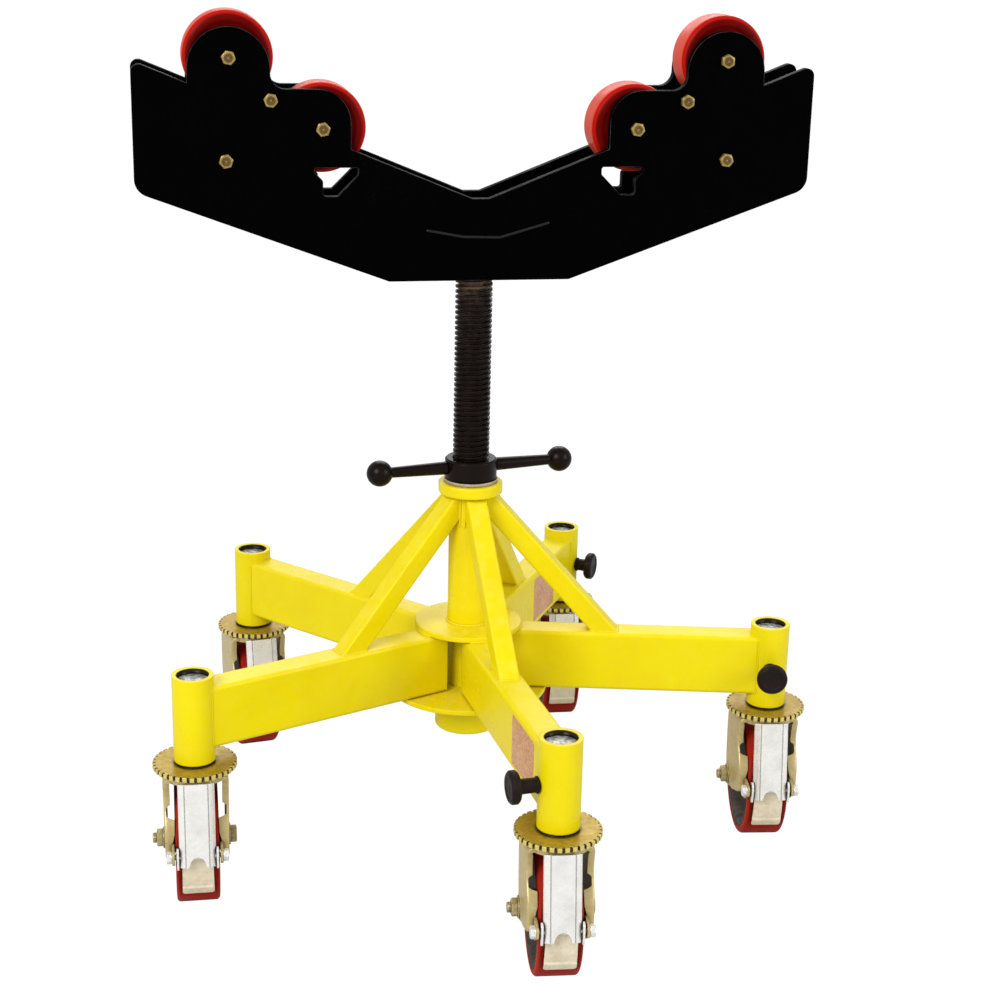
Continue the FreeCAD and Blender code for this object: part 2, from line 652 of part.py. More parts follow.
def make_guard(leg):
    """A curved plate in front of the tread, tied to both pin lugs by a cross strip."""
    inner = "(wheel_outer + 2 * guard_gap)"
    outer = "(wheel_outer + 2 * guard_gap + 2 * guard_plate)"
    start = "-fork_width / 2"
    shell = less("guard_shell_%d" % leg,
                 along_y(cylinder("guard_out_%d" % leg, outer, "fork_width"), wheel_x, start, wheel_radius),
                 along_y(cylinder("guard_in_%d" % leg, inner, "fork_width"), wheel_x, start, wheel_radius))
    plate = doc.addObject("Part::Box", "guard_plate_%d" % leg)
    bind(plate, Length="wheel_outer", Width="guard_width", Height="guard_height")
    place(plate, "0", "-guard_width / 2", pin_z + " - guard_drop")
    strip = doc.addObject("Part::Box", "guard_strip_%d" % leg)
    bind(strip, Length="wheel_outer", Width="2 * lug_inner + lug_plate", Height="guard_strip_height")
    place(strip, "0", "-(lug_inner + lug_plate / 2)", pin_z + " - guard_strip_drop")
    window = fused("guard_window_%d" % leg, [plate, strip])
    guard = doc.addObject("Part::Common", "guard_%d" % leg)
    guard.Base = shell
    guard.Tool = window
    return guard


def pedal_point(across, along):
    """A point of the pedal's side view: across its face and along it from the pin, before it leans."""
    lean = "(pedal_lean * 1 deg)"
    x = "%s + (%s) * cos(%s) - (%s) * sin(%s)" % (pin_x, across, lean, along, lean)
    z = "%s + (%s) * sin(%s) + (%s) * cos(%s)" % (pin_z, across, lean, along, lean)
    return x, z


def make_pedal(leg):
    name = "brake_pedal_%d" % leg
    body = new_body(name)
    face, web = "pedal_face", "(pedal_face - pedal_plate)"
    top, low = "(pedal_length - pedal_below_pin)", "-pedal_below_pin"
    sketch = sketch_on(body, "XZ_Plane")
    polygon(sketch, [pedal_point(face, low), pedal_point(face, top), pedal_point("0", top),
                     pedal_point("-pedal_flange", "pedal_flange_top"),
                     pedal_point("-pedal_ear_back", "pedal_ear_rise"), pedal_point(web, "-pedal_ear_drop"),
                     pedal_point(web, low)])
    pad(body, sketch, "pedal_width", midplane=True)
    face_low, face_high = pedal_point(face, low), pedal_point(face, top)
    fillet(body, "pedal_plate", lambda edge: edge.Length > number("pedal_length") - 0.1 and
           edge.CenterOfMass.x > number(face_low[0] + " - pedal_length * sin(pedal_lean * 1 deg) / 2") - 0.5)
    sketch = sketch_on(body, "XZ_Plane")
    below, above, behind = low + " - pedal_face", top + " + pedal_face", "-3 * pedal_flange"
    polygon(sketch, [pedal_point(web, below), pedal_point(web, above), pedal_point(behind, above),
                     pedal_point(behind, below)])
    pocket(body, sketch, "pedal_width - 2 * pedal_plate")
    sketch = sketch_on(body, "XZ_Plane")
    circle(sketch, pin_x, pin_z, "pin + 2 * running_gap")
    pocket(body, sketch)
    sketch = sketch_on(body, "YZ_Plane")
    circle(sketch, "0", face_low[1] + " + pedal_arch_rise", "pedal_arch")
    pocket(body, sketch)
    subpart(at_post(body, leg), name)


def hexagon(name, flats, depth):
    prism = doc.addObject("Part::Prism", name)
    prism.Polygon = 6
    return bind(prism, Circumradius="%s / sqrt(3)" % flats, Height=depth)


def make_hardware(leg):
    """Axle bolt with its head on the +Y side and its nut on the other, and the pedal's headed pin."""
    half = "fork_width / 2"
    nut_face = "-%s - hex_depth" % half
    shank = along_y(cylinder("axle_shank_%d" % leg, "axle", "fork_width + 2 * hex_depth + axle_end"),
                    wheel_x, nut_face + " - axle_end", wheel_radius)
    head = along_y(hexagon("axle_head_%d" % leg, "hex_flats", "hex_depth"), wheel_x, half, wheel_radius)
    bolt = fused("axle_whole_%d" % leg, [shank, head])
    nut_body = along_y(hexagon("axle_nut_body_%d" % leg, "hex_flats", "hex_depth"), wheel_x, nut_face,
                       wheel_radius)
    nut_bore = along_y(cylinder("axle_nut_bore_%d" % leg, "(axle + 2 * weld_gap)", "hex_depth"), wheel_x,
                       nut_face, wheel_radius)
    nut = less("axle_nut_%d" % leg, nut_body, nut_bore)
    pin_start = "-%s - pin_hex_depth" % lug_outer
    shaft = along_y(cylinder("pin_shaft_%d" % leg, "pin", "2 * %s + 2 * pin_hex_depth" % lug_outer), pin_x,
                    pin_start, pin_z)
    ends = [along_y(hexagon("pin_%s_%d" % (side, leg), "pin_hex", "pin_hex_depth"), pin_x, start, pin_z)
            for side, start in (("near", pin_start), ("far", lug_outer))]
    pin = fused("pedal_pin_%d" % leg, [shaft] + ends)
    subpart(at_post(grouped("hardware_%d" % leg, [bolt, nut, pin]), leg), "axle_bolt_%d" % leg)


def make_wheel(leg):
    rim = "(wheel_outer / 2 - tread_depth)"
    half = "wheel_width / 2"
    tread = turned_y("tread_%d" % leg, wheel_x, wheel_radius,
                     [("-" + half, rim), (half, rim), (half, wheel_radius), ("-" + half, wheel_radius)])
    radius = number(wheel_radius)
    fillet(tread, "tread_round", lambda edge: is_rim(edge, radius))
    subpart(at_post(tread, leg), "wheel_tread_%d" % leg)
    seat = rim + " - weld_gap"
    side = "(wheel_width / 2 - rim_inset)"
    lip = rim + " - wheel_rim"
    bore = "axle / 2 + running_gap"
    boss_half = "(%s - side_gap)" % inner_half
    web = "wheel_web / 2"
    boss, taper = "wheel_boss / 2", "wheel_boss / 2 - boss_taper"
    hub = turned_y("hub_%d" % leg, wheel_x, wheel_radius,
                   [("-" + side, seat), (side, seat), (side, lip), (web, lip), (web, boss),
                    (boss_half, taper), (boss_half, bore), ("-" + boss_half, bore),
                    ("-" + boss_half, taper), ("-" + web, boss), ("-" + web, lip), ("-" + side, lip)])
    subpart(at_post(hub, leg), "wheel_hub_%d" % leg)


# ---- screw jack ----

washer_top = "(column_top + washer_depth)"
nut_top = "(column_top + washer_depth + nut_depth)"
handle_level = "(column_top + washer_depth + handle_rise)"
shoulder = "(head_bottom + socket_rise)"


def make_screw():
    """The screw with its right-hand thread, and the plain journal that the head turns on."""
    major, journal = "screw_major / 2", "socket_journal / 2"
    points = [("0", "screw_end"), (major + " - screw_chamfer", "screw_end"),
              (major, "screw_end + screw_chamfer"), (major, shoulder), (journal, shoulder),
              (journal, shoulder + " + socket_depth"), ("0", shoulder + " + socket_depth")]
    body = turned_z("jack_screw", points)
    bar = body.Shape.Volume
    sketch = sketch_on(body, "XZ_Plane")
    root, outside, start = major + " - thread_depth", major + " + thread_gap", "screw_end - thread_pitch"
    flare = "(thread_mouth + (thread_mouth - thread_root) * thread_gap / thread_depth) / 2"
    polygon(sketch, [(root, start + " - thread_root / 2"), (outside, "%s - %s" % (start, flare)),
                     (outside, "%s + %s" % (start, flare)), (root, start + " + thread_root / 2")])
    groove = body.newObject("PartDesign::SubtractiveHelix", "thread_groove")
    groove.Profile = sketch
    groove.ReferenceAxis = (sketch, ["V_Axis"])
    bind(groove, Pitch="thread_pitch", Height=shoulder + " - screw_end + 2 * thread_pitch")
    doc.recompute()
    if body.Shape.Volume > 0.95 * bar:
        raise RuntimeError("the thread's groove cuts nothing")
    subpart(body, "jack_screw")


def make_jack():
    """The thrust washer, and the nut, whose bore clears the thread's crests."""
    bore = "screw_major / 2 + thread_gap"
    subpart(turned_z("thrust_washer", ring_outline("washer_outer / 2", bore, "column_top", washer_top)),
            "thrust_washer")
    outer = "nut_outer / 2"
    inset = outer + " - nut_chamfer"
    points = [(bore, washer_top), (inset, washer_top), (outer, washer_top + " + nut_chamfer"),
              (outer, nut_top + " - nut_chamfer"), (inset, nut_top), (bore, nut_top)]
    body = turned_z("nut_body", points)
    sketch = sketch_on(body, "YZ_Plane")
    circle(sketch, "0", handle_level, "handle_stud + 2 * weld_gap")
    pocket(body, sketch)
    place(body, turn="handle_heading")
    subpart(body, "jack_nut")


def make_handle():
    """Two tapered arms with balls, screwed into the nut."""
    arms = []
    for side, turn in (("near", "handle_heading"), ("far", "handle_heading + 180")):
        start = "nut_outer / 2 + weld_gap * 2"
        stud = cylinder("handle_stud_" + side, "handle_stud", "2 * handle_stud_depth")
        arm = doc.addObject("Part::Cone", "handle_arm_" + side)
        bind(arm, Radius1="handle_root / 2", Radius2="handle_tip / 2", Height="handle_reach - nut_outer / 2")
        ball = bind(doc.addObject("Part::Sphere", "handle_ball_" + side), Radius="handle_ball / 2")
        for item, x in ((stud, "nut_outer / 2 - handle_stud_depth"), (arm, start), (ball, "handle_reach")):
            item.Placement.Rotation = Rotation(Vector(0, 1, 0), 90)
            item.setExpression("Placement.Base.x", formula(x))
            item.setExpression("Placement.Base.z", formula(handle_level))
        arms.append(place(fused("handle_" + side, [stud, arm, ball]), turn=turn))
    subpart(grouped("handle", arms), "jack_handle")


# ---- V head ----

def arm_top(x):
    """Height of an arm's upper edge at a distance from the head's middle."""
    return "(head_bottom + vee_height + (%s - vee_flat) * tan(arm_top_slope * 1 deg))" % x


def plate_outline():
    """The V with its two arms, from the lower left corner round to the upper left."""
    low_rise = "(head_end - head_flat) * tan(arm_low_slope * 1 deg)"
    half = [("head_flat", "head_bottom"), ("head_end", "head_bottom + " + low_rise),
            ("head_end", arm_top("head_end")), ("vee_flat", arm_top("vee_flat"))]
    return half + [("-" + x, z) for x, z in reversed(half)]


def make_head_plate(name, face):
    """One head plate; face is the formula of its -Y face."""
    body = new_body(name)
    sketch = sketch_on(body, "XZ_Plane")
    polygon(sketch, plate_outline())
    pad(body, sketch, "plate_thickness", reverse=True)
    ends = [(side * number("head_end"), number(level)) for side in (-1, 1) for level in
            (plate_outline()[1][1], plate_outline()[2][1])]
    fillet(body, "corner_low", lambda edge: any(near_line(edge, x, z) for x, z in ends[0::2]))
    fillet(body, "corner_top", lambda edge: any(near_line(edge, x, z) for x, z in ends[1::2]))
    high_x, high_z = "high_axle_x", "(high_axle_z - high_lobe_drop)"
    low_x, low_z = "(low_axle_x + low_lobe_shift)", "(low_axle_z + low_lobe_rise)"
    for sign in ("", "-"):
        for x, z, lobe in ((high_x, high_z, "high_lobe"), (low_x, low_z, "low_lobe")):
            sketch = sketch_on(body, "XZ_Plane")
            circle(sketch, sign + x, z, lobe)
            pad(body, sketch, "plate_thickness", reverse=True)
            sketch = sketch_on(body, "XZ_Plane")
            near, far = "(%s - %s / 2)" % (x, lobe), "(%s + %s / 2)" % (x, lobe)
            polygon(sketch, [(sign + near, arm_top(near) + " - lobe_root"),
                             (sign + far, arm_top(far) + " - lobe_root"), (sign + far, z), (sign + near, z)])
            pad(body, sketch, "plate_thickness", reverse=True)
        sketch = sketch_on(body, "XZ_Plane")
        web_top = low_z + " + low_lobe / 2"
        polygon(sketch, [(sign + low_x, low_z), (sign + high_x, low_z), (sign + high_x, web_top),
                         (sign + low_x, web_top)])
        pad(body, sketch, "plate_thickness", reverse=True)
    lobe_side, web_level = number(high_x + " - high_lobe / 2"), number(web_top)
    fillet(body, "lobe_fillet", lambda edge: any(near_line(edge, side * lobe_side, web_level)
                                                 for side in (-1, 1)))
    for sign in ("", "-"):
        sketch = sketch_on(body, "XZ_Plane")
        near, far, bevel = "relief_inner", "relief_outer", "(relief_inner + relief_bevel_x)"
        floor, roof = "relief_floor", "relief_floor + relief_height"
        wide, wide_low = "(relief_outer + relief_step)", roof + " - relief_step_side"
        corners = [(near, roof), (near, floor + " + relief_bevel_z"), (bevel, floor), (far, floor),
                   (far, wide_low + " - relief_step"), (wide, wide_low), (wide, roof)]
        polygon(sketch, [(sign + x, z) for x, z in corners])
        pocket(body, sketch)
    corner_places = [(number(x), number(z)) for x, z in corners]
    fillet(body, "relief_round", lambda edge: any(near_line(edge, side * x, z) for side in (-1, 1)
                                                  for x, z in corner_places))
    sketch = sketch_on(body, "XZ_Plane")
    for x, z in bolt_places():
        circle(sketch, x, z, "head_bolt + 2 * weld_gap")
    pocket(body, sketch)
    place(body, y=face)
    subpart(body, name)


def bolt_places():
    """Where the head's bolts are, axles first, as (x, z) formulas on both sides."""
    names = ("high_axle", "low_axle", "high_spacer", "low_spacer")
    return [("%s%s_x" % (sign, name), name + "_z") for name in names for sign in ("-", "")]


def head_bolt_set(name, x, z):
    """One bolt through both plates with its head in front and its nut behind."""
    grip = "(plate_gap + 2 * plate_thickness)"
    start = "-%s / 2 - head_hex_depth" % grip
    length = grip + " + 2 * head_hex_depth + head_bolt_end"
    shank = along_y(cylinder(name + "_shank", "head_bolt", length), x, start, z)
    head = along_y(hexagon(name + "_head", "head_hex", "head_hex_depth"), x, start, z)
    bolt = fused(name + "_bolt", [shank, head])
    nut_body = along_y(hexagon(name + "_nut_body", "head_hex", "head_hex_depth"), x, grip + " / 2", z)
    nut_bore = along_y(cylinder(name + "_nut_bore", "(head_bolt + 2 * weld_gap)", "head_hex_depth"), x,
                       grip + " / 2", z)
    return [bolt, less(name + "_nut", nut_body, nut_bore)]


def sleeve(name, outer, x, z):
    """A tube round a head bolt that keeps the plates apart."""
    length = "(plate_gap - 2 * weld_gap)"
    tube = along_y(cylinder(name + "_tube", outer, length), x, "-%s / 2" % length, z)
    bore = along_y(cylinder(name + "_bore", "(head_bolt + 2 * weld_gap)", length), x, "-%s / 2" % length, z)
    return less(name + "_sleeve", tube, bore)


def make_head_fasteners():
    places = bolt_places()
    axles, spacers = places[:4], places[4:]
    bolts = [item for i, (x, z) in enumerate(axles) for item in head_bolt_set("axle_set_%d" % i, x, z)]
    subpart(grouped("roller_bolts", bolts), "roller_bolts")
    sleeves = [sleeve("roller_%d" % i, "sleeve_outer", x, z) for i, (x, z) in enumerate(axles)]
    subpart(grouped("roller_sleeves", sleeves), "roller_sleeves")
    bolts = [item for i, (x, z) in enumerate(spacers) for item in head_bolt_set("spacer_set_%d" % i, x, z)]
    subpart(grouped("spacer_bolts", bolts), "spacer_bolts")
    tubes = [sleeve("spacer_%d" % i, "spacer_outer", x, z) for i, (x, z) in enumerate(spacers)]
    subpart(grouped("spacer_tubes", tubes), "spacer_tubes")


def make_rollers():
    half = "roller_width / 2"
    radius = number("roller_outer / 2")
    for name, (x, z) in zip(("high_left", "high_right", "low_left", "low_right"), bolt_places()):
        bore = "sleeve_outer / 2 + running_gap"
        outer = "roller_outer / 2"
        outline = [("-" + half, bore), (half, bore), (half, outer), ("-" + half, outer)]
        body = turned_y("roller_" + name, x, z, outline)
        fillet(body, "roller_round", lambda edge: is_rim(edge, radius))
        subpart(body, "head_roller_" + name)


def make_socket():
    """The round socket between the plates that turns on the screw's journal."""
    outer = "plate_gap / 2 - 2 * weld_gap"
    bore = "socket_journal / 2 + thread_gap"
    roof = shoulder + " + socket_depth + race_gap"
    top = roof + " + socket_cap"
    points = [(bore, shoulder), (outer, shoulder), (outer, top), ("0", top), ("0", roof), (bore, roof)]
    subpart(turned_z("head_socket", points), "head_socket")


make_column()
make_hub()
for leg in LEGS:
    make_leg(leg)
    make_brace(leg)
make_posts()
make_stems()
for leg in KNOB_LEGS:
    make_knob(leg)
for leg in LEGS:
    make_fork(leg)
    make_pedal(leg)
    make_hardware(leg)
    make_wheel(leg)
make_screw()
make_jack()
make_handle()
make_head_plate("head_front_plate", "-(plate_gap / 2 + plate_thickness)")
make_head_plate("head_back_plate", "plate_gap / 2")
make_head_fasteners()
make_rollers()
make_socket()
doc.recompute()

for item in doc.Objects:
    if "Invalid" in item.State or "Error" in item.State:
        raise RuntimeError("%s failed: %s" % (item.Name, item.State))
for item in SUBPARTS:
    if item.Shape.isNull() or not item.Shape.isValid() or not item.Shape.Solids:
        raise RuntimeError("%s has no valid solid" % item.Label)

os.makedirs("parts", exist_ok=True)
for item in SUBPARTS:
    item.Shape.exportStep("parts/%s.step" % item.Label)
print("%d sub-parts written" % len(SUBPARTS))
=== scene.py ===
import json
import math

import bmesh
import bpy
import numpy as np
from bpy.props import FloatProperty, FloatVectorProperty, IntProperty, PointerProperty
from mathutils import Matrix, Vector


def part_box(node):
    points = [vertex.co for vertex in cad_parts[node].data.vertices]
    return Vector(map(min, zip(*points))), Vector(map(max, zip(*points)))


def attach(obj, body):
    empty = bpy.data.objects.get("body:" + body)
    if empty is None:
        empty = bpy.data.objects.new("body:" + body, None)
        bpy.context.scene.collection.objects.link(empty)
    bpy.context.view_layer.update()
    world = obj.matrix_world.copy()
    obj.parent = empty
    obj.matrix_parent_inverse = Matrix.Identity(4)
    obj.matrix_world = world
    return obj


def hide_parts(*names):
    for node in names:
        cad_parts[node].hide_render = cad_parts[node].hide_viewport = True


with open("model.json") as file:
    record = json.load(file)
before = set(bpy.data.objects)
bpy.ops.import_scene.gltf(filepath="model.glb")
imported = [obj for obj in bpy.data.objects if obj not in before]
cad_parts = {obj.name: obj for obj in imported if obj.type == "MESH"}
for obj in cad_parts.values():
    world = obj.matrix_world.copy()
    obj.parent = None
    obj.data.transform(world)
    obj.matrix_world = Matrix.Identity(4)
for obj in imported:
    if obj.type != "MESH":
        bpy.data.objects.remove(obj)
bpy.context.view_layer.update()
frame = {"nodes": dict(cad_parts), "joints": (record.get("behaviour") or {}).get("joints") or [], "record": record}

bl_info = {
    "name": "Pipe stand looks",
    "version": (1, 0, 0),
    "blender": (4, 5, 0),
    "location": "3D View > Sidebar > Pipe Stand",
    "description": "Finishes, welds, casters, rollers and stage for a rolling pipe stand",
    "category": "Object",
}

JOINTS = {joint["name"]: joint for joint in frame["joints"]}
LEGS = (1, 2, 3, 4, 5)
KNOB_LEGS = (1, 2, 5)
ROLLERS = ("high_left", "high_right", "low_left", "low_right")
MM = 0.001
LEG_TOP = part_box("leg_tube_1")[1].z / MM
LEG_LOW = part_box("leg_tube_1")[0].z / MM
COLLAR_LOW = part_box("top_collar")[0].z / MM
POST_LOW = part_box("caster_posts")[0].z / MM
POST_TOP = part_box("caster_posts")[1].z / MM
FORK_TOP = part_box("caster_fork_1")[1].z / MM
PLATE_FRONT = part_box("head_front_plate")[0].y / MM
COLUMN_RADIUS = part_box("column_tube")[1].x / MM


# ---- sizes and colours that a user would change ----

class StandColours(bpy.types.PropertyGroup):
    paint: FloatVectorProperty(name="Base paint", description="Enamel on the column, legs and posts",
                               default=(0.80, 0.665, 0.0), subtype="COLOR", min=0, max=1)
    paint_deep: FloatVectorProperty(name="Base paint, thin", description="Enamel where it lies thin or in a crease",
                                    default=(0.76, 0.60, 0.0), subtype="COLOR", min=0, max=1)
    black: FloatVectorProperty(name="Head paint", description="Satin black on the head and the jack",
                               default=(0.0005, 0.0004, 0.0006), subtype="COLOR", min=0, max=1)
    # painted highlight: the light grey laid along the black plates' edges
    edge: FloatVectorProperty(name="Black edge highlight", description="Painted highlight on a black plate's edge",
                              default=(0.20, 0.20, 0.205), subtype="COLOR", min=0, max=1)
    red: FloatVectorProperty(name="Polyurethane", description="Caster treads",
                             default=(0.20, 0.009, 0.004), subtype="COLOR", min=0, max=1)
    roller: FloatVectorProperty(name="Roller red", description="Darker polyurethane of the head rollers",
                                default=(0.13, 0.0006, 0.0003), subtype="COLOR", min=0, max=1)
    yellow_zinc: FloatVectorProperty(name="Yellow zinc", description="Plating of forks and lock rings",
                                     default=(0.62, 0.51, 0.26), subtype="COLOR", min=0, max=1)
    bright_zinc: FloatVectorProperty(name="Bright zinc", description="Plating of the brake pedals",
                                     default=(0.90, 0.89, 0.86), subtype="COLOR", min=0, max=1)
    hub: FloatVectorProperty(name="Wheel core", description="Cast core of a caster wheel",
                             default=(0.030, 0.025, 0.022), subtype="COLOR", min=0, max=1)


class StandSizes(bpy.types.PropertyGroup):
    fork_half: FloatProperty(name="Fork half width", description="Swivel axis to a fork's outer side",
                             default=38 * MM, unit="LENGTH")
    fork_plate: FloatProperty(name="Fork plate", description="Thickness of a fork's pressed sheet",
                              default=3.2 * MM, unit="LENGTH")
    pedal_face: FloatProperty(name="Pedal face", description="Width of a pedal's flat face",
                              default=25 * MM, unit="LENGTH")
    pedal_shoulder: FloatProperty(name="Pedal shoulder", description="Rounding beside a pedal's flat face",
                                  default=8.5 * MM, unit="LENGTH")
    bead: FloatProperty(name="Weld bead", description="Radius of a weld bead on the base",
                        default=1.7 * MM, unit="LENGTH")
    ripple: FloatProperty(name="Weld ripple", description="Distance between a bead's ripples",
                          default=2.2 * MM, unit="LENGTH")
    turns: IntProperty(name="Round steps", description="Flats round a turned piece", default=96, min=24, max=192)


# ---- surfaces worked out with numpy ----

def unit(vector):
    vector = np.asarray(vector, float)
    return vector / np.linalg.norm(vector)


def rounded(points, radii, steps=6):
    """A polyline with arcs in its corners: at a corner of turn a and radius r, the arc starts and ends
    r * tan(a / 2) from the corner and its points are centre + r * (cos, sin) of evenly spaced angles."""
    points = np.asarray(points, float)
    radii = np.broadcast_to(radii, len(points))
    runs = [points[:1]]
    for before, corner, after, radius in zip(points, points[1:], points[2:], radii[1:]):
        into, out = unit(corner - before), unit(after - corner)
        turn = math.atan2(into[0] * out[1] - into[1] * out[0], into @ out)
        if radius <= 0 or abs(turn) < 1e-6:
            runs.append(corner[None])
            continue
        reach = radius * math.tan(abs(turn) / 2)
        side = math.copysign(1, turn)
        normal = side * np.array([-into[1], into[0]])
        start = corner - into * reach
        angle = np.linspace(0, abs(turn), steps + 1)[:, None]
        runs.append(start + radius * (np.sin(angle) * into + (1 - np.cos(angle)) * normal))
    runs.append(points[-1:])
    return np.concatenate(runs)


def frame_of(axis):
    """Two directions square to an axis and to each other."""
    axis = unit(axis)
    side = unit(np.cross(axis, (0, 0, 1) if abs(axis[2]) < 0.9 else (1, 0, 0)))
    return axis, side, np.cross(axis, side)


def turned(profile, centre, axis, steps):
    """A surface of revolution: centre + along(u) * axis + radius(u) * (cos v * side + sin v * up)."""
    axis, side, up = frame_of(axis)
    angle = np.linspace(0, 2 * np.pi, steps, endpoint=False)
    ring = np.cos(angle)[:, None] * side + np.sin(angle)[:, None] * up
    profile = np.asarray(profile, float)
    return np.asarray(centre, float) + profile[:, 0, None, None] * axis + profile[:, 1, None, None] * ring


def hexagon(flats, depth, centre, axis, turn=0.0, dish=0.0, bore=0.0, steps=96):
    """A chamfered hexagon: its rim is flats / 2 / cos(angle from the nearest flat's middle), and its end
    falls away outside the flats' circle at 30 degrees and dips in the middle by a shallow dish."""
    axis, side, up = frame_of(axis)
    angle = np.linspace(0, 2 * np.pi, steps, endpoint=False)
    rim = flats / 2 / np.cos((angle - turn + np.pi / 6) % (np.pi / 3) - np.pi / 6)
    level = np.array([bore, 0.12, 0.30, 0.42, 0.60, 0.78, 0.92])[:, None] * flats / 2
    radius = np.concatenate([np.broadcast_to(level, (7, steps)), rim[None] * 0.97, rim[None], rim[None], rim[None] * 0.5])
    fall = np.maximum(0, radius - 0.92 * flats / 2) * math.tan(math.radians(30))
    height = depth - fall
    height[:7] -= dish * np.clip(1.35 - radius[:7] / (0.42 * flats / 2), 0, 1)
    height[-2:] = 0
    ring = np.cos(angle)[:, None] * side + np.sin(angle)[:, None] * up
    return np.asarray(centre, float) + height[..., None] * axis + radius[..., None] * ring


def bead(path, radius, ripple, facing, closed=False, around=14):
    """A weld bead: path(s) + r(s) * (cos v * facing + sin v * side), r(s) = radius * (1 + 0.09 sin of s over the
    ripple's length), with each ripple bowed forward in the bead's middle."""
    path = np.asarray(path, float)
    facing = np.broadcast_to(np.asarray(facing, float), path.shape)
    if closed:
        along = np.roll(path, -1, 0) - np.roll(path, 1, 0)
    else:
        along = np.gradient(path, axis=0)
    along /= np.linalg.norm(along, axis=1)[:, None]
    side = np.cross(along, facing)
    side /= np.linalg.norm(side, axis=1)[:, None]
    top = np.cross(side, along)
    travel = np.concatenate([[0], np.cumsum(np.linalg.norm(np.diff(path, axis=0), axis=1))])
    angle = np.linspace(0, 2 * np.pi, around, endpoint=False)
    phase = 2 * np.pi * travel[:, None] / ripple + 1.2 * np.cos(angle)[None]
    size = radius * (1 + 0.09 * np.sin(phase))
    if not closed:
        size *= np.sqrt(np.clip(np.minimum(travel, travel[-1] - travel) / radius, 0.0, 1.0))[:, None]
    return (path[:, None] + (size * np.cos(angle))[..., None] * top[:, None]
            + (size * np.sin(angle))[..., None] * side[:, None])


def resampled(points, spacing):
    """Points evenly spaced along a polyline."""
    points = np.asarray(points, float)
    travel = np.concatenate([[0], np.cumsum(np.linalg.norm(np.diff(points, axis=0), axis=1))])
    wanted = np.linspace(0, travel[-1], max(int(travel[-1] / spacing), 8))
    return np.stack([np.interp(wanted, travel, column) for column in points.T], axis=1)


def patch_faces(shape, start, wrap_u, wrap_v):
    """Four corner numbers for every cell of a grid, joined end to end where it wraps."""
    index = start + np.arange(shape[0] * shape[1]).reshape(shape[:2])
    rows = np.concatenate([index, index[:1]]) if wrap_u else index
    cells = np.concatenate([rows, rows[:, :1]], axis=1) if wrap_v else rows
    corners = (cells[:-1, :-1], cells[1:, :-1], cells[1:, 1:], cells[:-1, 1:])
    return np.stack(corners, axis=-1).reshape(-1, 4)


def piece(name, patches, look, body, replaces=(), sheet=None, inside=None, sharp=32, soften=0.0):
    """Join grids, in millimetres, into one finished object that rides on a body. A sheet gets its thickness
    inwards; inside is then a point behind the sheet's outer face. Closed pieces get outward faces."""
    points, faces, count = [], [], 0
    for grid, wrap_u, wrap_v in patches:
        points.append(grid.reshape(-1, 3))
        faces.append(patch_faces(grid.shape, count, wrap_u, wrap_v))
        count += len(points[-1])
    points, faces = np.concatenate(points) * MM, np.concatenate(faces)
    if inside is not None:
        corner = points[faces]
        normal = np.cross(corner[:, 2] - corner[:, 0], corner[:, 3] - corner[:, 1])
        if (normal * (corner.mean(1) - np.asarray(inside) * MM)).sum() < 0:
            faces = faces[:, ::-1]
    mesh = bpy.data.meshes.new(name)
    mesh.from_pydata(points.tolist(), [], faces.tolist())
    work = bmesh.new()
    work.from_mesh(mesh)
    bmesh.ops.remove_doubles(work, verts=work.verts, dist=2e-6)
    bmesh.ops.dissolve_degenerate(work, edges=work.edges, dist=1e-6)
    if inside is None:
        bmesh.ops.recalc_face_normals(work, faces=work.faces)
    work.to_mesh(mesh)
    work.free()
    mesh.polygons.foreach_set("use_smooth", np.ones(len(mesh.polygons), bool))
    mesh.set_sharp_from_angle(angle=math.radians(sharp))
    mesh.materials.append(bpy.data.materials[look])
    item = bpy.data.objects.new(name, mesh)
    bpy.context.scene.collection.objects.link(item)
    if sheet:
        thick = item.modifiers.new("Thickness", "SOLIDIFY")
        thick.thickness, thick.offset = sheet * MM, -1
    if soften:
        bevel = item.modifiers.new("Edges", "BEVEL")
        bevel.width, bevel.segments, bevel.limit_method = soften * MM, 2, "ANGLE"
        bevel.angle_limit, bevel.harden_normals = math.radians(40), True
    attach(item, body)
    if replaces:
        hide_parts(*replaces)
    return item


def caster_frame(leg):
    """Origin on the floor under a post, in millimetres, and the heading of its caster."""
    post = JOINTS["caster_swivel_%d" % leg]["pos_m"]
    across = JOINTS["wheel_spin_%d" % leg]["axis"]
    return np.array([post[0] / MM, post[1] / MM, 0]), math.atan2(-across[0], across[1])


def leg_frame(leg):
    """Origin under the column's axis and a leg's heading."""
    post = JOINTS["caster_swivel_%d" % leg]["pos_m"]
    return np.zeros(3), math.atan2(post[1], post[0])


def stood(grid, where):
    """Turn points about Z by a heading and carry them to an origin."""
    origin, heading = where
    turn = np.array([[math.cos(heading), -math.sin(heading), 0], [math.sin(heading), math.cos(heading), 0], [0, 0, 1]])
    return np.asarray(grid, float) @ turn.T + origin


def local_point(joint, where):
    """A joint's place in a caster's own frame, in millimetres."""
    origin, heading = where
    flat = np.array(JOINTS[joint]["pos_m"]) / MM - origin
    turn = np.array([[math.cos(heading), math.sin(heading), 0], [-math.sin(heading), math.cos(heading), 0], [0, 0, 1]])
    return turn @ flat


# ---- effects shared by the materials ----

def add(tree, kind, inputs=None, **settings):
    """Add a node, set it up, and fill its inputs with values or links."""
    node = tree.nodes.new(kind)
    for key, value in settings.items():
        setattr(node, key, value)
    for key, value in (inputs or {}).items():
        if isinstance(value, bpy.types.NodeSocket):
            tree.links.new(value, node.inputs[key])
        else:
            node.inputs[key].default_value = value
    return node


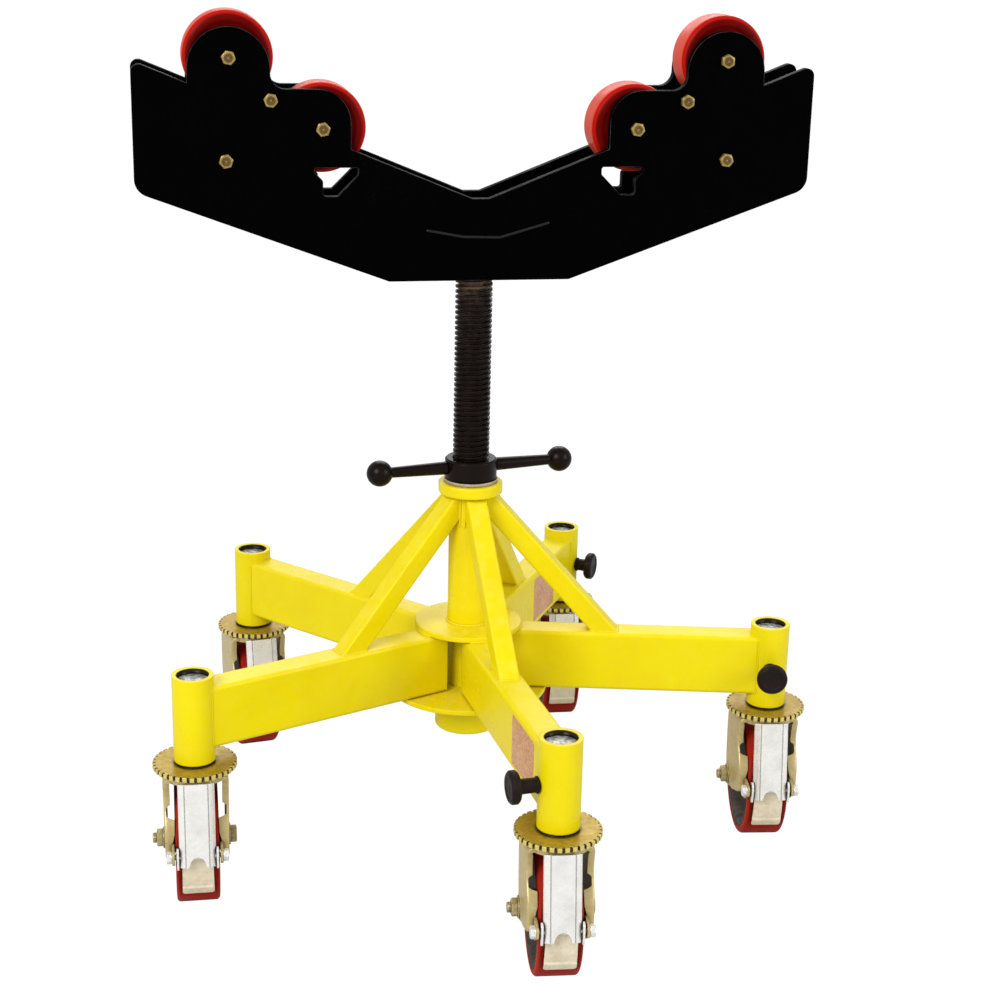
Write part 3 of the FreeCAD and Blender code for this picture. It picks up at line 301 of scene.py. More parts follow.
def effect(name, inputs, outputs, build):
    """A named node group: build gets its tree and input sockets and returns a value for each output."""
    tree = bpy.data.node_groups.new(name, "ShaderNodeTree")
    for label, value in inputs:
        socket = tree.interface.new_socket(name=label, in_out="INPUT", socket_type="NodeSocketFloat")
        socket.default_value = value
    for label, kind in outputs:
        tree.interface.new_socket(name=label, in_out="OUTPUT", socket_type=kind)
    enter, leave = tree.nodes.new("NodeGroupInput"), tree.nodes.new("NodeGroupOutput")
    for (label, kind), value in zip(outputs, build(tree, enter.outputs)):
        tree.links.new(value, leave.inputs[label])


def maths(tree, operation, first, second=0.0, clamp=False):
    node = add(tree, "ShaderNodeMath", {0: first, 1: second}, operation=operation, use_clamp=clamp)
    return node.outputs[0]


def spread(tree, value, low, high, to_low=0.0, to_high=1.0):
    """Map a range of values smoothly to another."""
    node = add(tree, "ShaderNodeMapRange", {"Value": value, "From Min": low, "From Max": high, "To Min": to_low,
                                            "To Max": to_high}, interpolation_type="SMOOTHSTEP")
    return node.outputs["Result"]


# The mask lays lighter colour along edges: painted highlight in the enamel, black, screw, zinc and stem materials.
def build_edge(tree, inputs):
    """Where the surface turns within a width: one less the cosine between the face and its softened normal."""
    soft = add(tree, "ShaderNodeBevel", {"Radius": inputs["Width"]}, samples=6).outputs["Normal"]
    face = add(tree, "ShaderNodeNewGeometry").outputs["Normal"]
    turn = add(tree, "ShaderNodeVectorMath", {0: soft, 1: face}, operation="DOT_PRODUCT").outputs["Value"]
    place = add(tree, "ShaderNodeTexCoord").outputs["Object"]
    patchy = add(tree, "ShaderNodeTexNoise", {"Vector": place, "Scale": inputs["Break Up"], "Detail": 4.0}).outputs["Fac"]
    bare = spread(tree, maths(tree, "SUBTRACT", 1.0, turn), 0.01, 0.20)
    return maths(tree, "MULTIPLY", bare, spread(tree, patchy, 0.30, 0.62), True), soft


def build_mottle(tree, inputs):
    """Soft blotches from noise, stretched between a low and a high threshold."""
    place = add(tree, "ShaderNodeTexCoord").outputs["Object"]
    cloud = add(tree, "ShaderNodeTexNoise", {"Vector": place, "Scale": inputs["Scale"], "Detail": 5.0,
                                             "Roughness": 0.62}).outputs["Fac"]
    return (spread(tree, cloud, inputs["Low"], inputs["High"]),)


def build_dust(tree, inputs):
    """Settled dust: more on faces that look up, broken up by fine noise."""
    place = add(tree, "ShaderNodeTexCoord").outputs["Object"]
    face = add(tree, "ShaderNodeNewGeometry").outputs["Normal"]
    up = add(tree, "ShaderNodeSeparateXYZ", {"Vector": face}).outputs["Z"]
    grain = add(tree, "ShaderNodeTexNoise", {"Vector": place, "Scale": inputs["Scale"], "Detail": 6.0}).outputs["Fac"]
    lying = spread(tree, up, 0.2, 1.0, 0.15, 1.0)
    return (maths(tree, "MULTIPLY", maths(tree, "MULTIPLY", lying, spread(tree, grain, 0.35, 0.75)), inputs["Amount"],
                  True),)


def build_scratches(tree, inputs):
    """Thin scratches: narrow bands of a noise that is drawn out along two slanting directions."""
    place = add(tree, "ShaderNodeTexCoord").outputs["Object"]
    lines = []
    for tilt in ((0.3, 0.2, 0.5), (-0.4, 0.9, -0.6)):
        laid = add(tree, "ShaderNodeMapping", {"Vector": place, "Rotation": tilt, "Scale": (14.0, 1.0, 5.0)})
        noise = add(tree, "ShaderNodeTexNoise", {"Vector": laid.outputs["Vector"], "Scale": inputs["Scale"],
                                                 "Detail": 1.0}).outputs["Fac"]
        near = maths(tree, "ABSOLUTE", maths(tree, "SUBTRACT", noise, 0.5))
        lines.append(spread(tree, near, 0.0, inputs["Width"], 1.0, 0.0))
    both = maths(tree, "MAXIMUM", lines[0], lines[1])
    gaps = add(tree, "ShaderNodeTexNoise", {"Vector": place, "Scale": 9.0, "Detail": 2.0}).outputs["Fac"]
    return (maths(tree, "MULTIPLY", both, spread(tree, gaps, 0.5, 0.7), True),)


def build_skin(tree, inputs):
    """The skin of a coating: fine ripples over broad ones, as a height."""
    place = add(tree, "ShaderNodeTexCoord").outputs["Object"]
    fine = add(tree, "ShaderNodeTexNoise", {"Vector": place, "Scale": inputs["Scale"], "Detail": 3.0}).outputs["Fac"]
    broad = add(tree, "ShaderNodeTexNoise", {"Vector": place, "Scale": 34.0, "Detail": 2.0}).outputs["Fac"]
    return (maths(tree, "ADD", fine, maths(tree, "MULTIPLY", broad, 0.8)),)


def build_spangle(tree, inputs):
    """Plating grains: cells of slightly different brightness with soft noise over them."""
    place = add(tree, "ShaderNodeTexCoord").outputs["Object"]
    cell = add(tree, "ShaderNodeTexVoronoi", {"Vector": place, "Scale": inputs["Scale"], "Randomness": 1.0})
    shade = add(tree, "ShaderNodeSeparateColor", {"Color": cell.outputs["Color"]}).outputs["Red"]
    cloud = add(tree, "ShaderNodeTexNoise", {"Vector": place, "Scale": 60.0, "Detail": 4.0}).outputs["Fac"]
    return (maths(tree, "ADD", maths(tree, "MULTIPLY", shade, 0.45), maths(tree, "MULTIPLY", cloud, 0.55), True),)


def build_crevice(tree, inputs):
    """Painted shade where surfaces close in on each other: the share of a short reach that is blocked."""
    place = add(tree, "ShaderNodeTexCoord").outputs["Object"]
    open_share = add(tree, "ShaderNodeAmbientOcclusion", {"Distance": inputs["Reach"]}, samples=6).outputs["AO"]
    patchy = add(tree, "ShaderNodeTexNoise", {"Vector": place, "Scale": 120.0, "Detail": 3.0}).outputs["Fac"]
    shut = spread(tree, maths(tree, "SUBTRACT", 1.0, open_share), inputs["Start"], inputs["Full"])
    return (maths(tree, "MULTIPLY", shut, spread(tree, patchy, 0.1, 0.5, 0.6, 1.0), True),)


VALUE, DIRECTION = "NodeSocketFloat", "NodeSocketVector"
EFFECTS = (
    ("Edge wear", (("Width", 0.0015), ("Break Up", 40.0)), (("Mask", VALUE), ("Normal", DIRECTION)), build_edge),
    ("Mottle", (("Scale", 12.0), ("Low", 0.3), ("High", 0.7)), (("Value", VALUE),), build_mottle),
    ("Settled dust", (("Amount", 0.3), ("Scale", 90.0)), (("Mask", VALUE),), build_dust),
    ("Scratches", (("Scale", 18.0), ("Width", 0.006)), (("Mask", VALUE),), build_scratches),
    ("Coating skin", (("Scale", 420.0),), (("Height", VALUE),), build_skin),
    ("Crevice grime", (("Reach", 0.004), ("Start", 0.2), ("Full", 0.6)), (("Mask", VALUE),), build_crevice),
    ("Plating spangle", (("Scale", 320.0),), (("Value", VALUE),), build_spangle),
)


def use(tree, name, output=0, **values):
    """Place an effect in a material with its own values and give one of its outputs."""
    node = tree.nodes.new("ShaderNodeGroup")
    node.node_tree = bpy.data.node_groups[name]
    for label, value in values.items():
        node.inputs[label.replace("_", " ")].default_value = value
    return node.outputs[output] if output is not None else node


def blend(tree, amount, first, second, mode="MIX"):
    node = add(tree, "ShaderNodeMix", {"Factor": amount}, data_type="RGBA", blend_type=mode, clamp_factor=True)
    for socket, value in ((node.inputs[6], first), (node.inputs[7], second)):
        if isinstance(value, bpy.types.NodeSocket):
            tree.links.new(value, socket)
        else:
            socket.default_value = (*value, 1.0)[:4]
    return node.outputs[2]


def new_look(name, **fixed):
    """A material with a Principled shader whose constants are set on its own sockets."""
    material = bpy.data.materials.new(name)
    material.use_nodes = True
    tree = material.node_tree
    shader = tree.nodes["Principled BSDF"]
    for label, value in fixed.items():
        shader.inputs[label.replace("_", " ")].default_value = value
    return tree, shader


def finish_look(tree, shader, colour, rough, height=None, depth=0.0, normal=None):
    tree.links.new(colour, shader.inputs["Base Color"])
    tree.links.new(rough, shader.inputs["Roughness"])
    if height is not None:
        bump = add(tree, "ShaderNodeBump", {"Height": height, "Distance": depth, "Strength": 1.0})
        if normal is not None:
            tree.links.new(normal, bump.inputs["Normal"])
        normal = bump.outputs["Normal"]
    if normal is not None:
        tree.links.new(normal, shader.inputs["Normal"])


def make_enamel(colours):
    tree, shader = new_look("Yellow enamel", IOR=1.25)
    edge_node = use(tree, "Edge wear", None, Width=0.0022, Break_Up=30.0)
    body = blend(tree, use(tree, "Mottle", Scale=9.0, Low=0.35, High=0.75), colours.paint, colours.paint_deep)
    # painted highlight: edges lightened towards pale yellow
    lit = blend(tree, maths(tree, "MULTIPLY", edge_node.outputs["Mask"], 0.45), body, (0.90, 0.82, 0.06))
    dusty = blend(tree, use(tree, "Settled dust", Amount=0.16, Scale=70.0), lit, (0.86, 0.80, 0.28))
    scuffed = blend(tree, maths(tree, "MULTIPLY", use(tree, "Scratches", Scale=10.0, Width=0.004), 0.22), dusty,
                    (0.62, 0.47, 0.02))
    # painted shade: dark brown where surfaces close in
    crevice_shade = maths(tree, "MULTIPLY", use(tree, "Crevice grime", Reach=0.008, Start=0.3, Full=0.8), 0.45)
    shaded = blend(tree, crevice_shade, scuffed, (0.30, 0.19, 0.005))
    rough = spread(tree, use(tree, "Mottle", Scale=22.0, Low=0.3, High=0.7), 0.0, 1.0, 0.26, 0.40)
    finish_look(tree, shader, shaded, rough, use(tree, "Coating skin", Scale=300.0), 0.00006, edge_node.outputs["Normal"])


def make_black(name, base, edge, width, edge_share, rough_low, rough_high, shine):
    tree, shader = new_look(name, IOR=shine)
    edge_node = use(tree, "Edge wear", None, Width=width, Break_Up=55.0)
    dust = blend(tree, use(tree, "Settled dust", Amount=0.03, Scale=120.0), base, (0.03, 0.026, 0.024))
    # painted highlight: edges lightened to the edge colour
    painted_light = blend(tree, maths(tree, "MULTIPLY", edge_node.outputs["Mask"], edge_share), dust, edge)
    marked = blend(tree, maths(tree, "MULTIPLY", use(tree, "Scratches", Scale=14.0, Width=0.004), 0.4), painted_light,
                   (0.008, 0.008, 0.009))
    rough = spread(tree, use(tree, "Mottle", Scale=26.0, Low=0.3, High=0.7), 0.0, 1.0, rough_low, rough_high)
    finish_look(tree, shader, marked, rough, use(tree, "Coating skin", Scale=520.0), 0.00005, edge_node.outputs["Normal"])


def make_screw_finish(colours):
    """Black oxide with a worn brown patch just under the head, and painted highlights on the thread's crests that grow
    stronger towards the top.
    """
    tree, shader = new_look("Screw oxide", Metallic=0.2, Specular_IOR_Level=0.10)
    edge_node = use(tree, "Edge wear", None, Width=0.0007, Break_Up=70.0)
    place = add(tree, "ShaderNodeSeparateXYZ", {"Vector": add(tree, "ShaderNodeTexCoord").outputs["Object"]})
    high = spread(tree, place.outputs["Z"], 0.690, 0.712)
    patch = use(tree, "Mottle", Scale=48.0, Low=0.40, High=0.60)
    brown = maths(tree, "MULTIPLY", maths(tree, "MULTIPLY", high, patch), 0.85)
    dark = blend(tree, use(tree, "Mottle", Scale=90.0), (0.0040, 0.0016, 0.0010), (0.0105, 0.0052, 0.0036))
    worn = blend(tree, brown, dark, (0.13, 0.085, 0.05))
    # painted highlight: crests lightened more towards the top
    painted_light = maths(tree, "MULTIPLY", edge_node.outputs["Mask"], spread(tree, place.outputs["Z"], 0.60, 0.68, 0.12, 0.55))
    crest = blend(tree, painted_light, worn, (0.22, 0.19, 0.16))
    rough = spread(tree, use(tree, "Mottle", Scale=70.0), 0.0, 1.0, 0.28, 0.5)
    finish_look(tree, shader, crest, rough, use(tree, "Coating skin", Scale=600.0), 0.00004, edge_node.outputs["Normal"])


def make_polyurethane(name, red, face, turned_highlight, dust, rough_low, rough_high):
    """Polyurethane: its own red on the flanks, a lighter red on the rolling face that is a painted highlight and partly
    a faded tread, a painted highlight where the edge turns, and painted shade where surfaces close in.
    """
    tree, shader = new_look(name, IOR=1.12)
    edge_node = use(tree, "Edge wear", None, Width=0.003, Break_Up=18.0)
    across = add(tree, "ShaderNodeSeparateXYZ", {"Vector": add(tree, "ShaderNodeTexCoord").outputs["Normal"]})
    lean = maths(tree, "ABSOLUTE", across.outputs["Y"])
    flank = blend(tree, use(tree, "Mottle", Scale=14.0, Low=0.3, High=0.75), red, [part * 0.6 for part in red])
    # the rolling face takes the lighter face red: painted highlight, partly a faded tread
    body = blend(tree, spread(tree, lean, 0.35, 0.9, 1.0, 0.0), flank, face)
    # painted highlight: a band of brighter red where the edge turns from flank to face
    turned_edge = maths(tree, "MULTIPLY", spread(tree, lean, 0.30, 0.45), spread(tree, lean, 0.7, 0.95, 1.0, 0.0))
    painted_light = blend(tree, turned_edge, body, turned_highlight)
    # painted shade: near-black red where surfaces close in
    shade = maths(tree, "MULTIPLY", use(tree, "Crevice grime", Reach=0.022, Start=0.30, Full=0.75), 0.8)
    painted_light = blend(tree, shade, painted_light, [part * 0.15 for part in red])
    dusty = blend(tree, use(tree, "Settled dust", Amount=dust, Scale=60.0), painted_light, (0.42, 0.12, 0.09))
    marks = maths(tree, "MULTIPLY", use(tree, "Scratches", Scale=22.0, Width=0.008), 0.15)
    marked = blend(tree, marks, dusty, (0.50, 0.10, 0.07))
    rough = spread(tree, use(tree, "Mottle", Scale=30.0), 0.0, 1.0, rough_low, rough_high)
    finish_look(tree, shader, marked, rough, use(tree, "Coating skin", Scale=240.0), 0.00008, edge_node.outputs["Normal"])


def make_zinc(name, light, dark, scale, rough_low, rough_high, metallic=0.9):
    tree, shader = new_look(name, Metallic=metallic)
    edge_node = use(tree, "Edge wear", None, Width=0.0008, Break_Up=60.0)
    grain = blend(tree, use(tree, "Plating spangle", Scale=scale), dark, light)
    cloud = blend(tree, maths(tree, "MULTIPLY", use(tree, "Mottle", Scale=38.0, Low=0.45, High=0.8), 0.35), grain,
                  [part * 0.62 for part in dark])
    # bright: lighter plating, laid as painted highlight on edges and as the colour of bright scratches
    bright = [min(1.0, part * 1.35 + 0.08) for part in light]
    edged = blend(tree, maths(tree, "MULTIPLY", edge_node.outputs["Mask"], 0.6), cloud, bright)
    marked = blend(tree, maths(tree, "MULTIPLY", use(tree, "Scratches", Scale=30.0, Width=0.006), 0.35), edged, bright)
    # painted shade: dark brown where surfaces close in
    crevice_shade = maths(tree, "MULTIPLY", use(tree, "Crevice grime", Reach=0.005, Start=0.16, Full=0.5), 0.85)
    shaded = blend(tree, crevice_shade, marked, (0.045, 0.030, 0.012))
    rough = spread(tree, use(tree, "Plating spangle", Scale=scale * 0.7), 0.0, 1.0, rough_low, rough_high)
    finish_look(tree, shader, shaded, rough, use(tree, "Coating skin", Scale=500.0), 0.00005, edge_node.outputs["Normal"])


def make_stem():
    """The caster's stem, by height: gold plating on the lock ring with painted highlights on its edges and sides and
    painted shade in its crevices, near black as painted shade at the post's foot, and bare grey above.
    """
    tree, shader = new_look("Stem and ring", Metallic=0.35)
    edge_node = use(tree, "Edge wear", None, Width=0.0009, Break_Up=60.0)
    place = add(tree, "ShaderNodeSeparateXYZ", {"Vector": add(tree, "ShaderNodeTexCoord").outputs["Object"]})
    level = place.outputs["Z"]
    gold = blend(tree, use(tree, "Plating spangle", Scale=240.0), (0.26, 0.155, 0.006), (0.48, 0.335, 0.03))
    grey = blend(tree, use(tree, "Mottle", Scale=170.0, Low=0.42, High=0.58), (0.20, 0.205, 0.19), (0.60, 0.60, 0.56))
    # painted highlight: the ring's edges and teeth lightened to cream
    edged = blend(tree, maths(tree, "MULTIPLY", edge_node.outputs["Mask"], 1.0), gold, (0.95, 0.89, 0.55))
    upright = add(tree, "ShaderNodeSeparateXYZ", {"Vector": add(tree, "ShaderNodeTexCoord").outputs["Normal"]})
    # painted highlight: faces that look sideways lightened towards pale gold
    rim = spread(tree, maths(tree, "ABSOLUTE", upright.outputs["Z"]), 0.2, 0.7, 0.75, 0.0)
    rimmed = blend(tree, rim, edged, (0.80, 0.68, 0.20))
    # painted shade: dark where surfaces close in
    crevice_shade = use(tree, "Crevice grime", Reach=0.006, Start=0.12, Full=0.42)
    shaded = blend(tree, crevice_shade, rimmed, (0.03, 0.018, 0.004))
    # painted shade: near black between the ring and the post's foot
    foot = blend(tree, spread(tree, level, 0.1848, 0.1851), shaded, (0.004, 0.003, 0.002))
    whole = blend(tree, spread(tree, level, 0.20, 0.21), foot, grey)
    rough = spread(tree, use(tree, "Plating spangle", Scale=180.0), 0.0, 1.0, 0.30, 0.48)
    finish_look(tree, shader, whole, rough, use(tree, "Coating skin", Scale=500.0), 0.00006, edge_node.outputs["Normal"])


def make_casting(colours):
    tree, shader = new_look("Grey casting", Specular_IOR_Level=0.35)
    edge_node = use(tree, "Edge wear", None, Width=0.0012, Break_Up=50.0)
    lighter = [part * 2.1 for part in colours.hub]
    body = blend(tree, use(tree, "Mottle", Scale=60.0, Low=0.35, High=0.7), colours.hub, lighter)
    dusty = blend(tree, use(tree, "Settled dust", Amount=0.35, Scale=110.0), body, (0.14, 0.115, 0.09))
    edged = blend(tree, maths(tree, "MULTIPLY", edge_node.outputs["Mask"], 0.4), dusty, (0.16, 0.14, 0.12))
    rough = spread(tree, use(tree, "Mottle", Scale=80.0), 0.0, 1.0, 0.55, 0.80)
    finish_look(tree, shader, edged, rough, use(tree, "Coating skin", Scale=700.0), 0.00022, edge_node.outputs["Normal"])


def make_moulding():
    tree, shader = new_look("Black moulding", Specular_IOR_Level=0.12)
    edge_node = use(tree, "Edge wear", None, Width=0.0015, Break_Up=40.0)
    body = blend(tree, use(tree, "Mottle", Scale=40.0), (0.0070, 0.0038, 0.0034), (0.013, 0.0075, 0.0068))
    edged = blend(tree, maths(tree, "MULTIPLY", edge_node.outputs["Mask"], 0.5), body, (0.045, 0.035, 0.033))
    dusty = blend(tree, use(tree, "Settled dust", Amount=0.08, Scale=150.0), edged, (0.07, 0.055, 0.05))
    rough = spread(tree, use(tree, "Mottle", Scale=55.0), 0.0, 1.0, 0.38, 0.55)
    finish_look(tree, shader, dusty, rough, use(tree, "Coating skin", Scale=900.0), 0.00005, edge_node.outputs["Normal"])


def make_sticker():
    """A plain salmon label: paper grain and a few fine ruled specks, no lettering."""
    tree, shader = new_look("Plain label", Specular_IOR_Level=0.4, Coat_Weight=0.2)
    grain = blend(tree, use(tree, "Mottle", Scale=380.0, Low=0.42, High=0.58), (0.66, 0.36, 0.15), (0.42, 0.12, 0.05))
    aged = blend(tree, maths(tree, "MULTIPLY", use(tree, "Mottle", Scale=30.0), 0.4), grain, (0.68, 0.44, 0.20))
    rough = spread(tree, use(tree, "Mottle", Scale=60.0), 0.0, 1.0, 0.35, 0.5)
    finish_look(tree, shader, aged, rough)


def make_floor():
    """A pale floor that the camera sees nearly even: most of what it sees is a plain glow, the rest is lit paint."""
    tree, shader = new_look("Pale floor", Specular_IOR_Level=0.1)
    tone = blend(tree, use(tree, "Mottle", Scale=3.0), (0.62, 0.62, 0.62), (0.58, 0.58, 0.585))
    rough = spread(tree, use(tree, "Mottle", Scale=8.0), 0.0, 1.0, 0.6, 0.75)
    finish_look(tree, shader, tone, rough)
    glow = add(tree, "ShaderNodeEmission", {"Color": (1.0, 1.0, 1.0, 1.0), "Strength": 1.07})
    seen = add(tree, "ShaderNodeLightPath").outputs["Is Camera Ray"]
    both = add(tree, "ShaderNodeMixShader", {0: maths(tree, "MULTIPLY", seen, 0.94), 1: shader.outputs[0],
                                             2: glow.outputs[0]})
    tree.links.new(both.outputs[0], tree.nodes["Material Output"].inputs["Surface"])


LOOKS = {  # the record's slot, and the material that shows it
    "yellow_paint": "Yellow enamel",
    "black_steel": "Satin black",
    "red_polyurethane": "Red polyurethane",
    "grey_cast_iron": "Grey casting",
    "zinc_steel": "Bolt zinc",
    "yellow_zinc_steel": "Yellow zinc",
    "bright_zinc_steel": "Bright zinc",
    "black_plastic": "Black moulding",
    "bronze_washer": "Worn bronze",
}


class PIPESTAND_OT_finishes(bpy.types.Operator):
    """Make the materials and give every carried-over part the finish of its slot"""
    bl_idname = "pipe_stand.finishes"
    bl_label = "Finishes"

    def execute(self, context):
        colours = context.scene.stand_colours
        for row in EFFECTS:
            effect(*row)
        make_enamel(colours)
        make_black("Satin black", colours.black, colours.edge, 0.0014, 0.45, 0.36, 0.52, 1.06)
        make_black("Jack black", (0.0050, 0.0018, 0.0010), (0.05, 0.034, 0.022), 0.0012, 0.5, 0.20, 0.32, 1.22)
        make_black("Weld black", (0.010, 0.009, 0.009), (0.10, 0.095, 0.095), 0.0010, 0.7, 0.25, 0.40, 1.3)
        make_screw_finish(colours)
        # the face and turned-edge reds are painted highlights on the polyurethane
        make_polyurethane("Red polyurethane", colours.red, (0.40, 0.020, 0.008), (0.36, 0.016, 0.007), 0.03, 0.36, 0.52)
        make_polyurethane("Roller red", colours.roller, (0.62, 0.075, 0.045), (0.42, 0.006, 0.002), 0.01, 0.30, 0.42)
        make_zinc("Yellow zinc", colours.yellow_zinc, (0.48, 0.37, 0.13), 260.0, 0.30, 0.46, 0.35)
        make_zinc("Guard zinc", (0.92, 0.83, 0.64), (0.68, 0.58, 0.40), 200.0, 0.30, 0.46, 0.30)
        make_zinc("Bright zinc", colours.bright_zinc, (0.80, 0.78, 0.74), 210.0, 0.22, 0.36, 0.45)
        make_zinc("Bolt zinc", (0.62, 0.53, 0.28), (0.28, 0.21, 0.08), 420.0, 0.22, 0.36, 0.5)
        make_zinc("Head bolt zinc", (0.50, 0.36, 0.09), (0.15, 0.09, 0.016), 700.0, 0.25, 0.40, 0.35)
        # Bolt shade: painted shade for the head bolts' recesses
        make_zinc("Bolt shade", (0.17, 0.10, 0.016), (0.03, 0.016, 0.003), 900.0, 0.25, 0.40, 0.2)
        make_zinc("Worn bronze", (0.62, 0.54, 0.38), (0.42, 0.34, 0.20), 300.0, 0.32, 0.50, 0.4)
        make_stem()
        make_casting(colours)
        make_moulding()
        make_sticker()
        for row in frame["record"]["subparts"]:
            mesh = frame["nodes"][row["node"]].data
            mesh.materials.clear()
            mesh.materials.append(bpy.data.materials[LOOKS[row["material_slot"]]])
        for node, look in (("jack_screw", "Screw oxide"), ("jack_nut", "Jack black"), ("jack_handle", "Jack black"),
                           ("caster_stems", "Stem and ring")):
            frame["nodes"][node].data.materials[0] = bpy.data.materials[look]
        return {"FINISHED"}


# ---- base ----

def ring_path(radius, level, start=0.0, end=2 * np.pi, spacing=0.6):
    angle = np.linspace(start, end, max(int(abs(end - start) * radius / spacing), 8))
    return np.stack([radius * np.cos(angle), radius * np.sin(angle), np.full_like(angle, level)], axis=1)


class PIPESTAND_OT_base_welds(bpy.types.Operator):
    """Lay the weld beads that join legs, braces, posts, hub plates and column"""
    bl_idname = "pipe_stand.base_welds"
    bl_label = "Base welds"

    def execute(self, context):
        sizes = context.scene.stand_sizes
        radius, ripple = sizes.bead / MM, sizes.ripple / MM
        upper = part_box("upper_hub_plate")[1].x / MM
        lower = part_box("lower_hub_plate")[1].x / MM
        patches = []
        for leg in LEGS:
            where = leg_frame(leg)
            reach = np.linalg.norm(JOINTS["caster_swivel_%d" % leg]["pos_m"][:2]) / MM
            # round the leg where it meets its post
            half, post = 19.05, 24.15
            section = rounded([(0, LEG_TOP), (half, LEG_TOP), (half, LEG_LOW), (-half, LEG_LOW), (-half, LEG_TOP),
                               (0, LEG_TOP)], 5.5, 8)
            section = resampled(section, 0.6)
            path = np.stack([reach - np.sqrt(post ** 2 - np.clip(section[:, 0], -post, post) ** 2),
                             section[:, 0], section[:, 1]], axis=1)[:-1]
            outward = np.stack([-np.ones(len(path)), section[:-1, 0] / half,
                                (section[:-1, 1] - (LEG_TOP + LEG_LOW) / 2) / 38.0], axis=1)
            patches.append((stood(bead(path, radius * 0.7, ripple, outward, closed=True), where), True, True))
            # round the brace's foot on the leg
            toe, heel, side = 188.0, 153.7, 12.7
            foot = rounded([(heel, 0), (heel, side), (toe, side), (toe, -side), (heel, -side), (heel, 0)], 3.2, 6)
            foot = resampled(foot, 0.6)[:-1]
            path = np.stack([foot[:, 0], foot[:, 1], np.full(len(foot), LEG_TOP)], axis=1)
            patches.append((stood(bead(path, radius * 0.9, ripple, (0, 0, 1), closed=True), where), True, True))
            # up both sides of the brace on the column
            for hand in (-1, 1):
                x = math.sqrt(COLUMN_RADIUS ** 2 - side ** 2)
                path = resampled([(x, hand * side, COLLAR_LOW - 2), (x, hand * side, COLLAR_LOW - 40)], 0.6)
                patches.append((stood(bead(path, radius * 0.9, ripple, (1, hand * 1.5, 0)), where), False, True))
                # the lower hub plate's rim under the leg
            across = math.asin(min(1.0, half / lower))
            path = ring_path(lower, LEG_LOW - 0.6, -across, across)
            patches.append((stood(bead(path, radius * 0.8, ripple, (1, 0, -1)), where), False, True))
            across = math.asin(15.0 / upper)
            path = ring_path(upper, LEG_TOP + 0.4, -across, across)
            patches.append((stood(bead(path, radius, ripple, (1, 0, 1)), where), False, True))
        for level, size in ((LEG_TOP + 6.8, COLUMN_RADIUS + 0.6), (COLLAR_LOW - 0.4, COLUMN_RADIUS + 0.6)):
            path = ring_path(size, level)[:-1]
            facing = path / np.array([size, size, 1]) * np.array([1, 1, 0]) + np.array([0, 0, math.copysign(1, level - 400) * -1])
            patches.append((bead(path, radius, ripple, facing, closed=True), True, True))
        piece("base_weld_beads", patches, "Yellow enamel", "base", sharp=60)
        return {"FINISHED"}


class PIPESTAND_OT_post_bores(bpy.types.Operator):
    """Line the open top of each post's bore with near-black steel: partly the bare steel's own colour, partly painted
    shade inside the bore
    """
    bl_idname = "pipe_stand.post_bores"
    bl_label = "Post bores"

    def execute(self, context):
        patches = []
        for leg in LEGS:
            lining = [(POST_TOP - 8, 19.0), (POST_TOP - 8, 18.82), (POST_TOP - 1.0, 18.82), (POST_TOP - 0.5, 19.0)]
            centre = (caster_frame(leg)[0][0], caster_frame(leg)[0][1], 0)
            patches.append((turned(lining, centre, (0, 0, 1), context.scene.stand_sizes.turns), True, True))
        piece("post_bore_linings", patches, "Jack black", "base")
        return {"FINISHED"}


class PIPESTAND_OT_labels(bpy.types.Operator):
    """Stick plain labels without lettering on the sides of two legs"""
    bl_idname = "pipe_stand.labels"
    bl_label = "Labels"

    def execute(self, context):
        for leg, hand, start, end in ((5, -1, 262.0, 344.0), (2, -1, 205.0, 290.0)):
            corners = [(start, LEG_LOW + 40), (start, LEG_TOP - 8), (end, LEG_TOP - 8), (end, LEG_LOW + 8),
                       (start, LEG_LOW + 8), (start, LEG_LOW + 40)]
            outline = resampled(rounded(corners, 3.0, 5), 1.0)
            middle = outline.mean(0)
            grids = []
            for shrink, lift in ((1.0, 0.0), (1.0, 0.22), (0.985, 0.25), (0.0, 0.25)):
                flat = middle + (outline - middle) * shrink
                grids.append(np.stack([flat[:, 0], np.full(len(flat), hand * (19.05 + lift)), flat[:, 1]], axis=1))
            piece("plain_label_%d" % leg, [(stood(np.array(grids), leg_frame(leg)), False, False)], "Plain label", "base")
        return {"FINISHED"}


class PIPESTAND_OT_lock_knobs(bpy.types.Operator):
    """Turn the moulded swivel-lock knobs with their necks and studs"""
    bl_idname = "pipe_stand.lock_knobs"
    bl_label = "Lock knobs"

    def execute(self, context):
        steps = context.scene.stand_sizes.turns
        for leg in KNOB_LEGS:
            joint = JOINTS["lock_knob_%d" % leg]
            centre, axis = np.array(joint["pos_m"]) / MM, np.array(joint["axis"], float)
            low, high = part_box("lock_knob_%d" % leg)
            far = max(abs(unit(axis) @ (np.array(corner) / MM - centre)) for corner in (low, high))
            front = min(far, 24.2 + 34.0)
            back = front - 11.0
            profile = rounded([(18.5, 0), (18.5, 6), (24.4, 6), (24.4, 9.6), (26.5, 9.6), (26.5, 8.2), (back - 1, 8.6),
                               (back, 16.5), (back + 2.5, 18.75), (front - 2.5, 18.75), (front, 16.0),
                               (front, 12.0), (front - 0.7, 11.2), (front - 0.7, 0)],
                              [0, 0, 0.4, 0.8, 0.8, 1.5, 3.0, 1.6, 2.2, 2.2, 2.0, 0.4, 0.6, 0], 5)
            grid = turned(profile, centre, axis, steps)
            piece("knob_moulding_%d" % leg, [(grid, False, True)], "Black moulding", "knob_%d" % leg,
                  ("lock_knob_%d" % leg,))
        return {"FINISHED"}


# ---- casters ----

